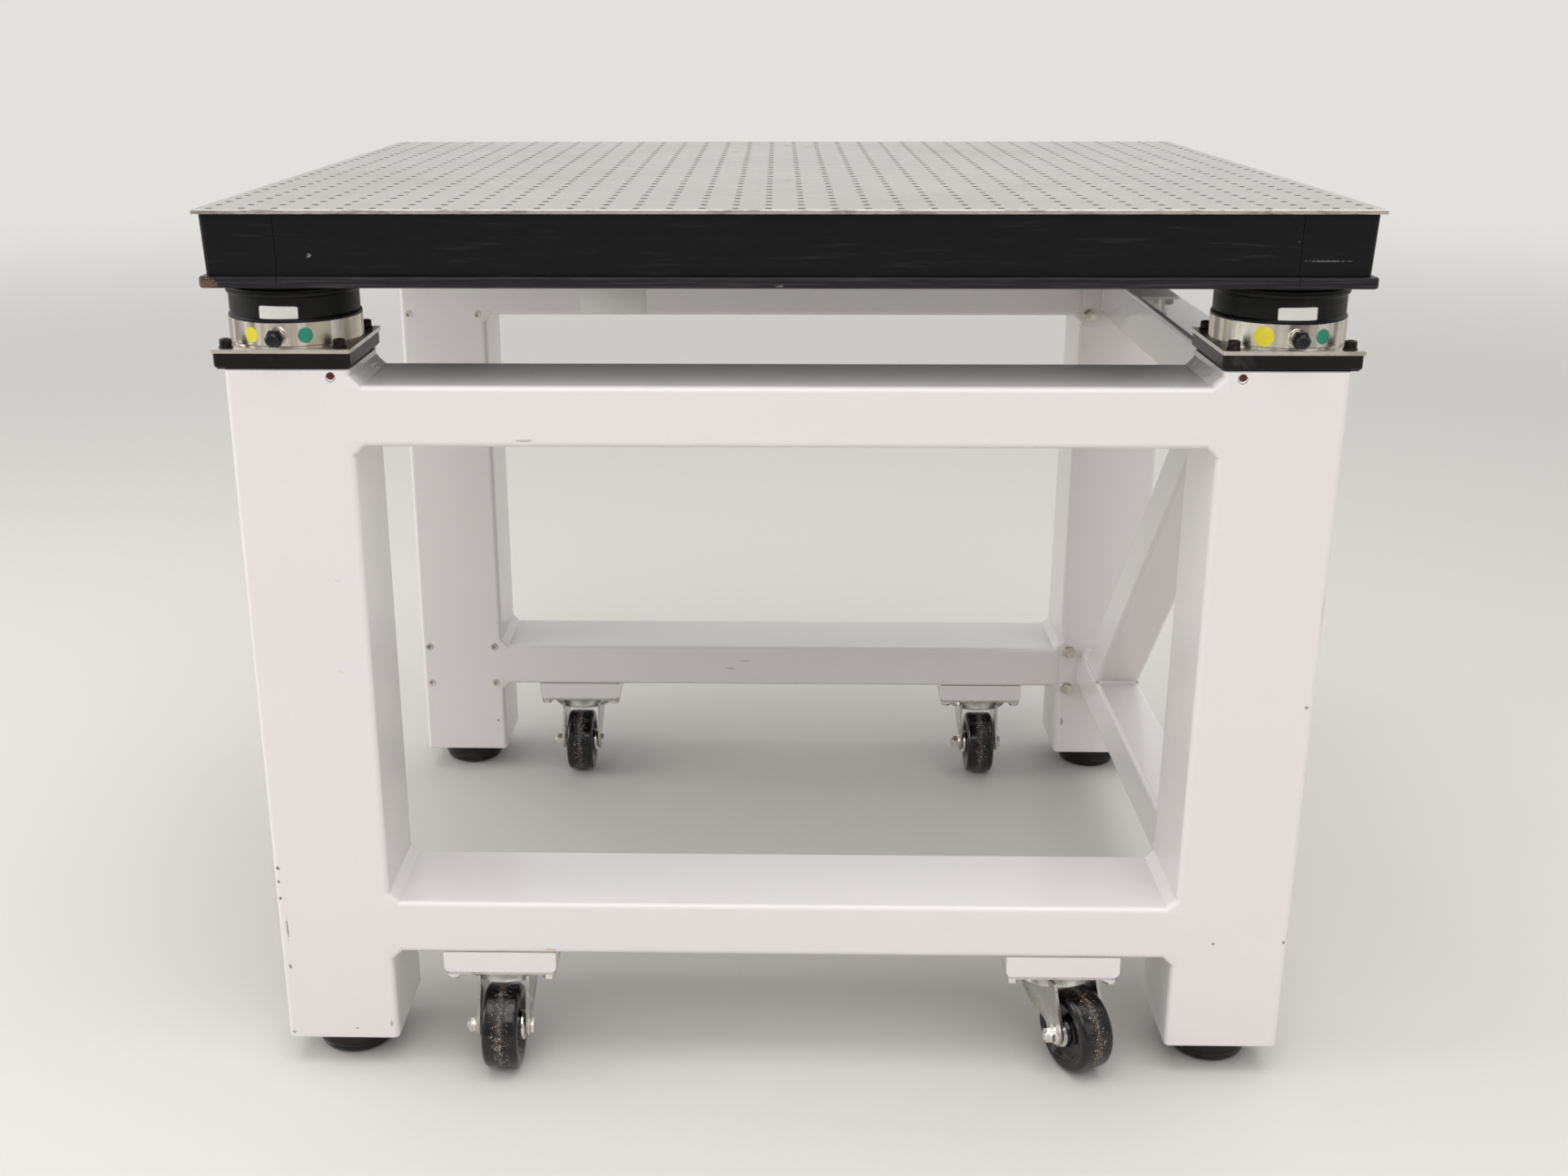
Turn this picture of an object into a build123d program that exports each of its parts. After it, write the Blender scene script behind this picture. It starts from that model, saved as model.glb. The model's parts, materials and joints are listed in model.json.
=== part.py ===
import os
from math import atan2, cos, sin

from build123d import *

# Optical table: a honeycomb breadboard on four air isolators, carried by a welded
# frame that stands on levelling pads and can be rolled on swivel casters.
# Millimetres, +X to the right, +Y to the back, +Z up. The origin is on the floor,
# below the middle of the table.

# Breadboard
top_height = 767.0
top_thickness = 60.0
skin_width = 911.0
skin_depth = 758.6
skin_thickness = 3.4
skin_corner_radius = 3.0
hole_pitch = 25.4
hole_radius = 2.6
cup_radius = 4.0
cup_depth = 20.0
corner_pattern_pitches = 4
middle_pattern_pitches = 5
corner_pattern_column = 14.5
corner_pattern_row = 11.5

# Plastic edge panels and corner trims round the breadboard
panel_thickness = 5.0
panel_setback = 3.4
panel_draft = 1.5
panel_top_chamfer = 1.2
lip_height = 9.0
lip_projection = 4.9
lip_radius = 2.0
band_corner_radius = 5.0
trim_length = 61.0
trim_seam = 0.4

# Frame of square and flat tube
frame_width = 890.0
frame_depth = 742.0
leg_size = 100.0
leg_wall = 4.0
leg_cap = 6.0
leg_bottom = 28.0
leg_top = 641.0
tube_corner_radius = 5.0
leg_end_fillet = 2.5
rail_height = 50.0
rail_wall = 3.0
upper_rail_centre = 603.5
lower_rail_centre = 142.0
vent_radius = 3.2
vent_inset = 15.0
vent_drop = 4.4

# Bolted side frame on the right, with one sloping brace
side_tube = 50.0
side_tube_wall = 3.0
brace_inset = 68.0
end_plate_width = 98.0
end_plate_height = 74.0
end_plate_thickness = 6.0
end_plate_corner = 5.0
tapped_hole_radius = 3.4
tapped_spacing_x = 80.5
tapped_spacing_z = 48.0
bolt_shank_radius = 3.35
bolt_length = 16.0
bolt_head_flats = 12.0
bolt_head_height = 5.3
washer_radius = 7.8
washer_thickness = 1.5
plate_hole_radius = 4.2

# Air isolators, one on each leg
isolator_outward = 4.5
isolator_inward = 8.0
base_plate_size = 109.5
base_plate_thickness = 13.0
base_plate_corner = 4.0
base_plate_chamfer = 2.5
sheet_overhang = 1.0
sheet_thickness = 3.2
sheet_corner = 2.0
ring_radius = 53.5
ring_height = 21.0
ring_groove_depth = 1.6
ring_groove_height = 1.4
ring_chamfer = 0.8
rubber_radius = 52.0
bead_radius = 1.8
bead_below_top = 7.5
screw_spacing = 91.0
screw_head_radius = 5.3
screw_head_height = 7.0
screw_shank_radius = 3.9
screw_hole_clearance = 0.3
screw_socket_flats = 6.0
screw_socket_depth = 4.0
valve_boss_radius = 7.7
valve_boss_length = 4.0
valve_neck_radius = 5.8
valve_neck_length = 5.0
valve_cap_flats = 13.0
valve_cap_grip = 7.0
valve_knob_radius = 5.6
valve_knob_length = 6.0

# Swivel casters on risers under the lower rails
caster_x = 250.0
riser_size = 100.0
riser_height = 19.0
riser_radius = 5.0
caster_plate_size = 98.0
caster_plate_thickness = 3.0
caster_plate_corner = 5.0
caster_hole_spacing = 85.0
caster_hole_radius = 3.4
race_radius = 31.0
race_height = 5.0
kingpin_radius = 6.0
kingpin_head_radius = 10.0
kingpin_head_height = 3.0
swivel_gap = 0.4
crown_radius = 33.0
crown_thickness = 5.5
crown_fillet = 1.5
fork_gap = 41.0
fork_plate = 3.0
fork_boss_radius = 11.5
fork_waist = 8.0
fork_front_bow = 1.5
caster_trail = 41.0
wheel_radius = 37.5
wheel_width = 32.0
wheel_shoulder = 6.0
wheel_hub_radius = 12.5
wheel_recess_radius = 24.0
wheel_recess_depth = 5.0
wheel_side_gap = 0.5
wheel_floor_gap = 1.0
axle_radius = 4.0
axle_clearance = 0.05
axle_nut_flats = 13.0
axle_nut_length = 8.0
axle_nut_tail = 2.5
axle_head_length = 3.6
swivel_angles = {"fl": 0.0, "fr": 25.0, "rl": 0.0, "rr": 0.0}

# Levelling pads
pad_radius = 37.5
pad_height = 26.5
pad_fillet = 4.0
stem_radius = 8.0
stem_clearance = 0.3
stem_sink = 6.0
stem_reach = 25.0

# Places worked out from the sizes above
skin_underside = top_height - skin_thickness
board_bottom = top_height - top_thickness
core_width = skin_width - 2 * (panel_setback + panel_thickness)
core_depth = skin_depth - 2 * (panel_setback + panel_thickness)
leg_x = (frame_width - leg_size) / 2
leg_y = (frame_depth - leg_size) / 2
rail_length = frame_width - 2 * leg_size
side_gap = frame_depth - 2 * leg_size
isolator_x = leg_x + isolator_outward
isolator_y = leg_y - isolator_inward
sheet_top = leg_top + base_plate_thickness + sheet_thickness
ring_top = sheet_top + ring_height
riser_bottom = lower_rail_centre - rail_height / 2 - riser_height
caster_plate_bottom = riser_bottom - caster_plate_thickness
race_bottom = caster_plate_bottom - race_height
crown_top = race_bottom - swivel_gap
crown_bottom = crown_top - crown_thickness
axle_height = wheel_radius + wheel_floor_gap
corners = {"fl": (-1, -1), "fr": (1, -1), "rl": (-1, 1), "rr": (1, 1)}
leg_places = [(sx * leg_x, sy * leg_y) for sx, sy in corners.values()]
isolator_places = [(sx * isolator_x, sy * isolator_y) for sx, sy in corners.values()]
caster_places = [(sx * caster_x, sy * leg_y) for sx, sy in corners.values()]

os.makedirs("parts", exist_ok=True)


def save(part, name):
    part.label = name
    export_step(part, f"parts/{name}.step")


def pattern_holes():
    """The tapped holes that the patterns state, as places on the grid."""
    far_x = corner_pattern_column * hole_pitch
    far_y = corner_pattern_row * hole_pitch
    wide = corner_pattern_pitches * hole_pitch / 2
    middle = middle_pattern_pitches * hole_pitch / 2
    rectangles = [(-far_x, -far_y, wide), (far_x, far_y, wide), (0, 0, middle)]
    return [
        (x + i * half, y + j * half)
        for x, y, half in rectangles
        for i in (-1, 1)
        for j in (-1, 1)
    ]


# Steel top skin, with the tapped holes of three patterns of its grid
with BuildPart() as top_skin:
    with BuildSketch(Plane.XY.offset(skin_underside)):
        RectangleRounded(skin_width, skin_depth, skin_corner_radius)
    extrude(amount=skin_thickness)
    with BuildSketch(Plane.XY.offset(skin_underside)):
        with Locations(*pattern_holes()):
            Circle(hole_radius)
    extrude(amount=skin_thickness, mode=Mode.SUBTRACT)
save(top_skin.part, "top_skin")

# Honeycomb core as one block, with a sealed cup below each of those holes
with BuildPart() as honeycomb_core:
    with BuildSketch(Plane.XY.offset(board_bottom + skin_thickness)):
        Rectangle(core_width, core_depth)
    extrude(amount=top_thickness - 2 * skin_thickness)
    with BuildSketch(Plane.XY.offset(skin_underside)):
        with Locations(*pattern_holes()):
            Circle(cup_radius)
    extrude(amount=-cup_depth, mode=Mode.SUBTRACT)
save(honeycomb_core.part, "honeycomb_core")

with BuildPart() as bottom_skin:
    with BuildSketch(Plane.XY.offset(board_bottom)):
        Rectangle(core_width, core_depth)
    extrude(amount=skin_thickness)
save(bottom_skin.part, "bottom_skin")

# The whole edge band, cut below into four panels and four corner trims. Its face
# leans in towards the lip along its lower edge.
face_width = skin_width - 2 * panel_setback
face_depth = skin_depth - 2 * panel_setback
lip_width = face_width + 2 * (lip_projection - panel_draft)
lip_depth = face_depth + 2 * (lip_projection - panel_draft)
with BuildPart() as edge_band:
    with BuildSketch(Plane.XY.offset(board_bottom)):
        RectangleRounded(lip_width, lip_depth, band_corner_radius)
    extrude(amount=lip_height)
    lip_rings = edge_band.edges().group_by(Axis.Z)
    fillet(lip_rings[0] + lip_rings[-1], lip_radius)
    with BuildSketch(Plane.XY.offset(board_bottom + lip_height)):
        RectangleRounded(face_width - 2 * panel_draft, face_depth - 2 * panel_draft, band_corner_radius)
    with BuildSketch(Plane.XY.offset(skin_underside)):
        RectangleRounded(face_width, face_depth, band_corner_radius)
    loft()
    chamfer(edge_band.edges().group_by(Axis.Z)[-1], panel_top_chamfer)
    with BuildSketch(Plane.XY.offset(board_bottom)):
        Rectangle(core_width, core_depth)
    extrude(amount=top_thickness, mode=Mode.SUBTRACT)

panel_length_x = skin_width - 2 * (trim_length + trim_seam)
panel_length_y = skin_depth - 2 * (trim_length + trim_seam)
sides = {"front": (0, -1), "rear": (0, 1), "left": (-1, 0), "right": (1, 0)}
for side, (sx, sy) in sides.items():
    with BuildPart() as edge_panel:
        add(edge_band.part)
        with BuildSketch(Plane.XY.offset(board_bottom)):
            with Locations((sx * skin_width / 2, sy * skin_depth / 2)):
                if sx == 0:
                    Rectangle(panel_length_x, 2 * trim_length)
                else:
                    Rectangle(2 * trim_length, panel_length_y)
        extrude(amount=top_thickness, mode=Mode.INTERSECT)
    save(edge_panel.part, f"edge_panel_{side}")

with BuildPart() as corner_trims:
    add(edge_band.part)
    with BuildSketch(Plane.XY.offset(board_bottom)):
        with GridLocations(skin_width, skin_depth, 2, 2):
            Rectangle(2 * trim_length, 2 * trim_length)
    extrude(amount=top_thickness, mode=Mode.INTERSECT)
save(corner_trims.part, "corner_trims")

# Legs: capped square tubes. The face towards the other frame has two groups of
# four tapped holes, and each leg has a small vent beside its upper weld.
for name, (sx, sy) in corners.items():
    x = sx * leg_x
    y = sy * leg_y
    with BuildPart() as leg:
        with BuildSketch(Plane.XY.offset(leg_bottom)):
            with Locations((x, y)):
                RectangleRounded(leg_size, leg_size, tube_corner_radius)
        extrude(amount=leg_top - leg_bottom)
        fillet(leg.edges().group_by(Axis.Z)[0], leg_end_fillet)
        with BuildSketch(Plane.XY.offset(leg_bottom + leg_cap)):
            with Locations((x, y)):
                inside = leg_size - 2 * leg_wall
                RectangleRounded(inside, inside, tube_corner_radius - leg_wall)
        extrude(amount=leg_top - leg_bottom - 2 * leg_cap, mode=Mode.SUBTRACT)
        with BuildSketch(Plane.XY.offset(leg_bottom)):
            with Locations((x, y)):
                Circle(stem_radius + stem_clearance)
        extrude(amount=leg_cap, mode=Mode.SUBTRACT)
        inner_face = Plane(origin=(x, y - sy * leg_size / 2, 0), x_dir=(1, 0, 0), z_dir=(0, -sy, 0))
        for centre in (upper_rail_centre, lower_rail_centre):
            with BuildSketch(inner_face):
                with Locations((0, sy * centre)):
                    with GridLocations(tapped_spacing_x, tapped_spacing_z, 2, 2):
                        Circle(tapped_hole_radius)
            extrude(amount=-leg_wall, mode=Mode.SUBTRACT)
        if sy < 0:
            vent_face = Plane(origin=(x, y - leg_size / 2, 0), x_dir=(1, 0, 0), z_dir=(0, -1, 0))
            vent_place = (-sx * (leg_size / 2 - vent_inset), leg_top - vent_drop)
        else:
            vent_face = Plane(origin=(x - sx * leg_size / 2, y, 0), x_dir=(0, sx, 0), z_dir=(-sx, 0, 0))
            under_rail = upper_rail_centre - rail_height / 2 - vent_inset
            vent_place = (-sx * (leg_size / 2 - vent_inset), under_rail)
        with BuildSketch(vent_face):
            with Locations(vent_place):
                Circle(vent_radius)
        extrude(amount=-leg_wall, mode=Mode.SUBTRACT)
    save(leg.part, f"leg_{name}")

# Rails: flat tubes as deep as the legs, welded between them
rails = {
    "upper_rail_front": (-leg_y, upper_rail_centre),
    "upper_rail_rear": (leg_y, upper_rail_centre),
    "lower_rail_front": (-leg_y, lower_rail_centre),
    "lower_rail_rear": (leg_y, lower_rail_centre),
}
for name, (y, z) in rails.items():
    with BuildPart() as rail:
        with BuildSketch(Plane.YZ):
            with Locations((y, z)):
                RectangleRounded(leg_size, rail_height, tube_corner_radius)
                RectangleRounded(
                    leg_size - 2 * rail_wall,
                    rail_height - 2 * rail_wall,
                    tube_corner_radius - rail_wall,
                    mode=Mode.SUBTRACT,
                )
        extrude(amount=rail_length / 2, both=True)
    save(rail.part, name)

# Side frame: two square tubes and a sloping brace between bolted end plates
side_tube_length = side_gap - 2 * end_plate_thickness
for name, z in {"side_upper_rail": upper_rail_centre, "side_lower_rail": lower_rail_centre}.items():
    with BuildPart() as side_rail:
        with BuildSketch(Plane.XZ):
            with Locations((leg_x, z)):
                RectangleRounded(side_tube, side_tube, tube_corner_radius)
                bore = side_tube - 2 * side_tube_wall
                RectangleRounded(bore, bore, tube_corner_radius - side_tube_wall, mode=Mode.SUBTRACT)
        extrude(amount=side_tube_length / 2, both=True)
    save(side_rail.part, name)

brace_low = lower_rail_centre + side_tube / 2
brace_high = upper_rail_centre - side_tube / 2
brace_rise = brace_high - brace_low
brace_run = side_tube_length - 2 * brace_inset
brace_slope = atan2(brace_rise, brace_run)
brace_plane = Plane(
    origin=(leg_x, 0, (brace_low + brace_high) / 2),
    x_dir=(1, 0, 0),
    z_dir=(0, -cos(brace_slope), sin(brace_slope)),
)
with BuildPart() as side_brace:
    with BuildSketch(brace_plane):
        RectangleRounded(side_tube, side_tube, tube_corner_radius)
        RectangleRounded(bore, bore, tube_corner_radius - side_tube_wall, mode=Mode.SUBTRACT)
    extrude(amount=brace_rise / sin(brace_slope) / 2 + side_tube, both=True)
    split(bisect_by=Plane.XY.offset(brace_low), keep=Keep.TOP)
    split(bisect_by=Plane.XY.offset(brace_high), keep=Keep.BOTTOM)
save(side_brace.part, "side_brace")

with BuildPart() as side_end_plates:
    for sy in (-1, 1):
        for z in (upper_rail_centre, lower_rail_centre):
            free_face = side_gap / 2 - end_plate_thickness
            with BuildSketch(Plane.XZ.offset(-sy * free_face)):
                with Locations((leg_x, z)):
                    RectangleRounded(end_plate_width, end_plate_height, end_plate_corner)
                    with GridLocations(tapped_spacing_x, tapped_spacing_z, 2, 2):
                        Circle(plate_hole_radius, mode=Mode.SUBTRACT)
            extrude(amount=-sy * end_plate_thickness)
save(side_end_plates.part, "side_end_plates")

# One bolt with its washer, its head towards +Y and its plate face at y = 0
with BuildPart() as frame_bolt:
    with BuildSketch(Plane.XZ):
        Circle(washer_radius)
    extrude(amount=-washer_thickness)
    with BuildSketch(Plane.XZ.offset(-washer_thickness)):
        RegularPolygon(bolt_head_flats / 2, 6, major_radius=False)
    extrude(amount=-bolt_head_height)
    with BuildSketch(Plane.XZ):
        Circle(bolt_shank_radius)
    extrude(amount=bolt_length)
with BuildPart() as side_frame_bolts:
    for sy in (-1, 1):
        for z in (upper_rail_centre, lower_rail_centre):
            for ix in (-1, 1):
                for iz in (-1, 1):
                    place = (
                        leg_x + ix * tapped_spacing_x / 2,
                        sy * (side_gap / 2 - end_plate_thickness),
                        z + iz * tapped_spacing_z / 2,
                    )
                    with Locations(Location(place, (0, 0, 90 * (1 + sy)))):
                        add(frame_bolt.part)
save(side_frame_bolts.part, "side_frame_bolts")

# Isolators: a base plate under a thin aluminium sheet, an aluminium ring and the
# rubber body that carries the breadboard
with BuildPart() as isolator_base_plates:
    with BuildSketch(Plane.XY.offset(leg_top)):
        with Locations(*isolator_places):
            RectangleRounded(base_plate_size, base_plate_size, base_plate_corner)
    extrude(amount=base_plate_thickness)
    chamfer(isolator_base_plates.edges().group_by(Axis.Z)[0], base_plate_chamfer)
    with BuildSketch(Plane.XY.offset(leg_top + base_plate_thickness)):
        with Locations(*isolator_places):
            with GridLocations(screw_spacing, screw_spacing, 2, 2):
                Circle(screw_shank_radius + screw_hole_clearance)
    extrude(amount=-base_plate_thickness, mode=Mode.SUBTRACT)
save(isolator_base_plates.part, "isolator_base_plates")

with BuildPart() as isolator_sheets:
    with BuildSketch(Plane.XY.offset(leg_top + base_plate_thickness)):
        with Locations(*isolator_places):
            sheet_size = base_plate_size + 2 * sheet_overhang
            RectangleRounded(sheet_size, sheet_size, sheet_corner)
            with GridLocations(screw_spacing, screw_spacing, 2, 2):
                Circle(screw_shank_radius + screw_hole_clearance, mode=Mode.SUBTRACT)
    extrude(amount=sheet_thickness)
save(isolator_sheets.part, "isolator_sheets")

with BuildPart() as isolator_screws:
    with BuildSketch(Plane.XY.offset(sheet_top)):
        with Locations(*isolator_places):
            with GridLocations(screw_spacing, screw_spacing, 2, 2):
                Circle(screw_head_radius)
    extrude(amount=screw_head_height)
    with BuildSketch(Plane.XY.offset(sheet_top)):
        with Locations(*isolator_places):
            with GridLocations(screw_spacing, screw_spacing, 2, 2):
                Circle(screw_shank_radius)
    extrude(amount=-(sheet_thickness + base_plate_thickness))
    with BuildSketch(Plane.XY.offset(sheet_top + screw_head_height)):
        with Locations(*isolator_places):
            with GridLocations(screw_spacing, screw_spacing, 2, 2):
                RegularPolygon(screw_socket_flats / 2, 6, major_radius=False)
    extrude(amount=-screw_socket_depth, mode=Mode.SUBTRACT)
save(isolator_screws.part, "isolator_screws")


def valve_plane(sx, sy, distance):
    """The plane across a filling valve, this far out from the isolator's axis."""
    centre = (sx * isolator_x, sy * (isolator_y + distance), sheet_top + ring_height / 2)
    return Plane(origin=centre, x_dir=(0, 0, 1), z_dir=(0, sy, 0))


valve_seat = ring_radius - valve_boss_length
boss_face = ring_radius + valve_boss_length
neck_face = boss_face + valve_neck_length
with BuildPart() as isolator_rings:
    with BuildSketch(Plane.XY.offset(sheet_top + ring_groove_height)):
        with Locations(*isolator_places):
            Circle(ring_radius)
    extrude(amount=ring_height - ring_groove_height)
    ring_edges = isolator_rings.edges().group_by(Axis.Z)
    chamfer(ring_edges[0] + ring_edges[-1], ring_chamfer)
    with BuildSketch(Plane.XY.offset(sheet_top)):
        with Locations(*isolator_places):
            Circle(ring_radius - ring_groove_depth)
    extrude(amount=ring_groove_height)
    for sx, sy in corners.values():
        with BuildSketch(valve_plane(sx, sy, valve_seat)):
            Circle(valve_boss_radius)
        extrude(amount=2 * valve_boss_length, mode=Mode.SUBTRACT)
save(isolator_rings.part, "isolator_rings")

with BuildPart() as valve_bosses:
    for sx, sy in corners.values():
        with BuildSketch(valve_plane(sx, sy, valve_seat)):
            Circle(valve_boss_radius)
        extrude(amount=2 * valve_boss_length)
        with BuildSketch(valve_plane(sx, sy, boss_face)):
            Circle(valve_neck_radius)
        extrude(amount=valve_neck_length)
save(valve_bosses.part, "valve_bosses")

with BuildPart() as valve_caps:
    for sx, sy in corners.values():
        with BuildSketch(valve_plane(sx, sy, neck_face)):
            RegularPolygon(valve_cap_flats / 2, 6, major_radius=False)
        extrude(amount=valve_cap_grip)
        with BuildSketch(valve_plane(sx, sy, neck_face + valve_cap_grip)):
            Circle(valve_knob_radius)
        extrude(amount=valve_knob_length)
save(valve_caps.part, "valve_caps")

bead_height = board_bottom - bead_below_top
with BuildPart() as isolator_rubbers:
    for x, y in isolator_places:
        with BuildSketch(Plane.XZ.offset(-y)):
            with BuildLine():
                Polyline(
                    (x, ring_top),
                    (x + rubber_radius, ring_top),
                    (x + rubber_radius, board_bottom),
                    (x, board_bottom),
                    close=True,
                )
            make_face()
            with Locations((x + rubber_radius, bead_height)):
                Circle(bead_radius)
        revolve(axis=Axis((x, y, 0), (0, 0, 1)))
save(isolator_rubbers.part, "isolator_rubbers")

# Casters. Their plates are bolted to risers welded under the lower rails.
with BuildPart() as caster_risers:
    for x, y in caster_places:
        with BuildSketch(Plane.XY.offset(riser_bottom)):
            with Locations((x, y)):
                Rectangle(riser_size, riser_size)
        extrude(amount=riser_height)
    fillet(caster_risers.edges().group_by(Axis.Z)[0].filter_by(Axis.Y), riser_radius)
save(caster_risers.part, "caster_risers")

with BuildPart() as caster_plates:
    with BuildSketch(Plane.XY.offset(caster_plate_bottom)):
        with Locations(*caster_places):
            RectangleRounded(caster_plate_size, caster_plate_size, caster_plate_corner)
            with GridLocations(caster_hole_spacing, caster_hole_spacing, 2, 2):
                Circle(caster_hole_radius, mode=Mode.SUBTRACT)
    extrude(amount=caster_plate_thickness)
    with BuildSketch(Plane.XY.offset(caster_plate_bottom)):
        with Locations(*caster_places):
            Circle(race_radius)
    extrude(amount=-race_height)
    with BuildSketch(Plane.XY.offset(race_bottom)):
        with Locations(*caster_places):
            Circle(kingpin_radius)
    extrude(amount=-(crown_thickness + 2 * swivel_gap))
    with BuildSketch(Plane.XY.offset(crown_bottom - swivel_gap)):
        with Locations(*caster_places):
            Circle(kingpin_head_radius)
    extrude(amount=-kingpin_head_height)
save(caster_plates.part, "caster_plates")

# One fork, turning about the Z axis through the origin, with its axle ahead of it
# at y = -caster_trail
fork_side = fork_gap / 2 + fork_plate
fork_top_half = (crown_radius**2 - fork_side**2) ** 0.5
fork_front = -crown_radius + crown_fillet
crown_middle = crown_bottom + crown_thickness / 2
boss_front = -caster_trail - fork_boss_radius
boss_rear = -caster_trail + fork_boss_radius
front_middle = ((fork_front + boss_front) / 2 + fork_front_bow, (crown_bottom + axle_height) / 2)
rear_middle = ((fork_top_half + boss_rear - fork_waist) / 2, (crown_bottom + axle_height + fork_waist) / 2)
axle_axis = Axis((0, -caster_trail, axle_height), (1, 0, 0))
with BuildPart() as fork:
    with BuildSketch(Plane.XY.offset(crown_bottom)):
        Circle(crown_radius)
    extrude(amount=crown_thickness)
    fillet(fork.edges().group_by(Axis.Z)[-1], crown_fillet)
    for sx in (-1, 1):
        with BuildSketch(Plane.YZ.offset(sx * fork_gap / 2)):
            with BuildLine():
                Polyline(
                    (fork_front, crown_bottom),
                    (fork_front, crown_middle),
                    (fork_top_half, crown_middle),
                    (fork_top_half, crown_bottom),
                )
                ThreePointArc((fork_top_half, crown_bottom), rear_middle, (boss_rear, axle_height))
                CenterArc((-caster_trail, axle_height), fork_boss_radius, 0, -180)
                ThreePointArc((boss_front, axle_height), front_middle, (fork_front, crown_bottom))
            make_face()
        extrude(amount=sx * fork_plate)
    with BuildSketch(Plane.XY.offset(crown_bottom)):
        Circle(kingpin_radius + swivel_gap)
    extrude(amount=crown_thickness, mode=Mode.SUBTRACT)
    with BuildSketch(Plane.YZ):
        with Locations((-caster_trail, axle_height)):
            Circle(axle_radius + axle_clearance)
    extrude(amount=fork_side, both=True, mode=Mode.SUBTRACT)

hub_half = fork_gap / 2 - wheel_side_gap
web_half = wheel_width / 2 - wheel_recess_depth
shoulder_x = wheel_width / 2 - wheel_shoulder
shoulder_r = wheel_radius - wheel_shoulder
wheel_plane = Plane(origin=(0, -caster_trail, axle_height))
with BuildPart() as wheel:
    with BuildSketch(wheel_plane):
        with BuildLine():
            Polyline(
                (0, wheel_radius),
                (0, axle_radius + axle_clearance),
                (hub_half, axle_radius + axle_clearance),
                (hub_half, wheel_hub_radius),
                (web_half, wheel_hub_radius),
                (web_half, wheel_recess_radius),
                (wheel_width / 2, wheel_recess_radius),
                (wheel_width / 2, shoulder_r),
            )
            CenterArc((shoulder_x, shoulder_r), wheel_shoulder, 0, 90)
            Line((shoulder_x, wheel_radius), (0, wheel_radius))
        make_face()
        mirror(about=Plane.YZ)
    revolve(axis=axle_axis)

with BuildPart() as axle:
    with BuildSketch(Plane.YZ.offset(fork_side)):
        with Locations((-caster_trail, axle_height)):
            RegularPolygon(axle_nut_flats / 2, 6, major_radius=False)
    extrude(amount=axle_head_length)
    with BuildSketch(Plane.YZ.offset(-fork_side)):
        with Locations((-caster_trail, axle_height)):
            RegularPolygon(axle_nut_flats / 2, 6, major_radius=False)
    extrude(amount=-axle_nut_length)
    with BuildSketch(Plane.YZ.offset(fork_side)):
        with Locations((-caster_trail, axle_height)):
            Circle(axle_radius)
    extrude(amount=-(2 * fork_side + axle_nut_length + axle_nut_tail))

for name, (sx, sy) in corners.items():
    place = Location((sx * caster_x, sy * leg_y, 0), (0, 0, swivel_angles[name]))
    for kind, piece in {"fork": fork, "wheel": wheel, "axle": axle}.items():
        with BuildPart() as placed:
            with Locations(place):
                add(piece.part)
        save(placed.part, f"caster_{kind}_{name}")

# Levelling pads on threaded stems in the legs' bottom caps
with BuildPart() as foot_pads:
    with BuildSketch():
        with Locations(*leg_places):
            Circle(pad_radius)
    extrude(amount=pad_height)
    fillet(foot_pads.edges().group_by(Axis.Z)[0], pad_fillet)
    with BuildSketch(Plane.XY.offset(pad_height)):
        with Locations(*leg_places):
            Circle(stem_radius + stem_clearance)
    extrude(amount=-stem_sink, mode=Mode.SUBTRACT)
save(foot_pads.part, "foot_pads")

with BuildPart() as foot_stems:
    with BuildSketch(Plane.XY.offset(pad_height - stem_sink)):
        with Locations(*leg_places):
            Circle(stem_radius)
    extrude(amount=stem_reach)
save(foot_stems.part, "foot_stems")
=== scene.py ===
"""Looks of the optical table: finishes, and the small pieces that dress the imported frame."""

import json
import math
import random

import bmesh
import bpy
from mathutils import Matrix, Vector

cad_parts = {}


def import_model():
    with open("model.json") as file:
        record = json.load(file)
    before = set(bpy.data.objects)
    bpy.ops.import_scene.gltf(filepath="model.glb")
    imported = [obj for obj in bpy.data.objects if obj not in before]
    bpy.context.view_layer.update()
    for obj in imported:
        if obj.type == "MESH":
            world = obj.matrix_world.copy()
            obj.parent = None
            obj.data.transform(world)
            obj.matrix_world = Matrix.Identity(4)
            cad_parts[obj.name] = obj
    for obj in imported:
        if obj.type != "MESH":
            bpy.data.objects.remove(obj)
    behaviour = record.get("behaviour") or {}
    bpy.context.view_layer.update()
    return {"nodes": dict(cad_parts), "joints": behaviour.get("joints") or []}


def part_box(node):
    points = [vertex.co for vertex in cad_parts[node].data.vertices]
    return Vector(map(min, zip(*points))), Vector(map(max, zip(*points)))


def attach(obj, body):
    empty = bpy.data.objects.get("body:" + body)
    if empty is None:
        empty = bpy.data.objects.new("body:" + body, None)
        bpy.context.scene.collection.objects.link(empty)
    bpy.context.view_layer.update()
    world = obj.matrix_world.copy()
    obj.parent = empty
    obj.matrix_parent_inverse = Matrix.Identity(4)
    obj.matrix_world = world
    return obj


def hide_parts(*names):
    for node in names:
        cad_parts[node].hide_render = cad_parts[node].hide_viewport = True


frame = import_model()

MM = 0.001
MERGE_REACH = 0.00005
PHOTO_WIDTH = 1728
CORNERS = {"fl": (-1, -1), "fr": (1, -1), "rl": (-1, 1), "rr": (1, 1)}
SIGNS = [(-1, -1), (-1, 1), (1, -1), (1, 1)]
RAILS = ("upper_rail_front", "upper_rail_rear", "lower_rail_front", "lower_rail_rear")
nodes = frame["nodes"]
joints = {joint["name"]: joint for joint in frame["joints"]}
scene = bpy.context.scene


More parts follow.
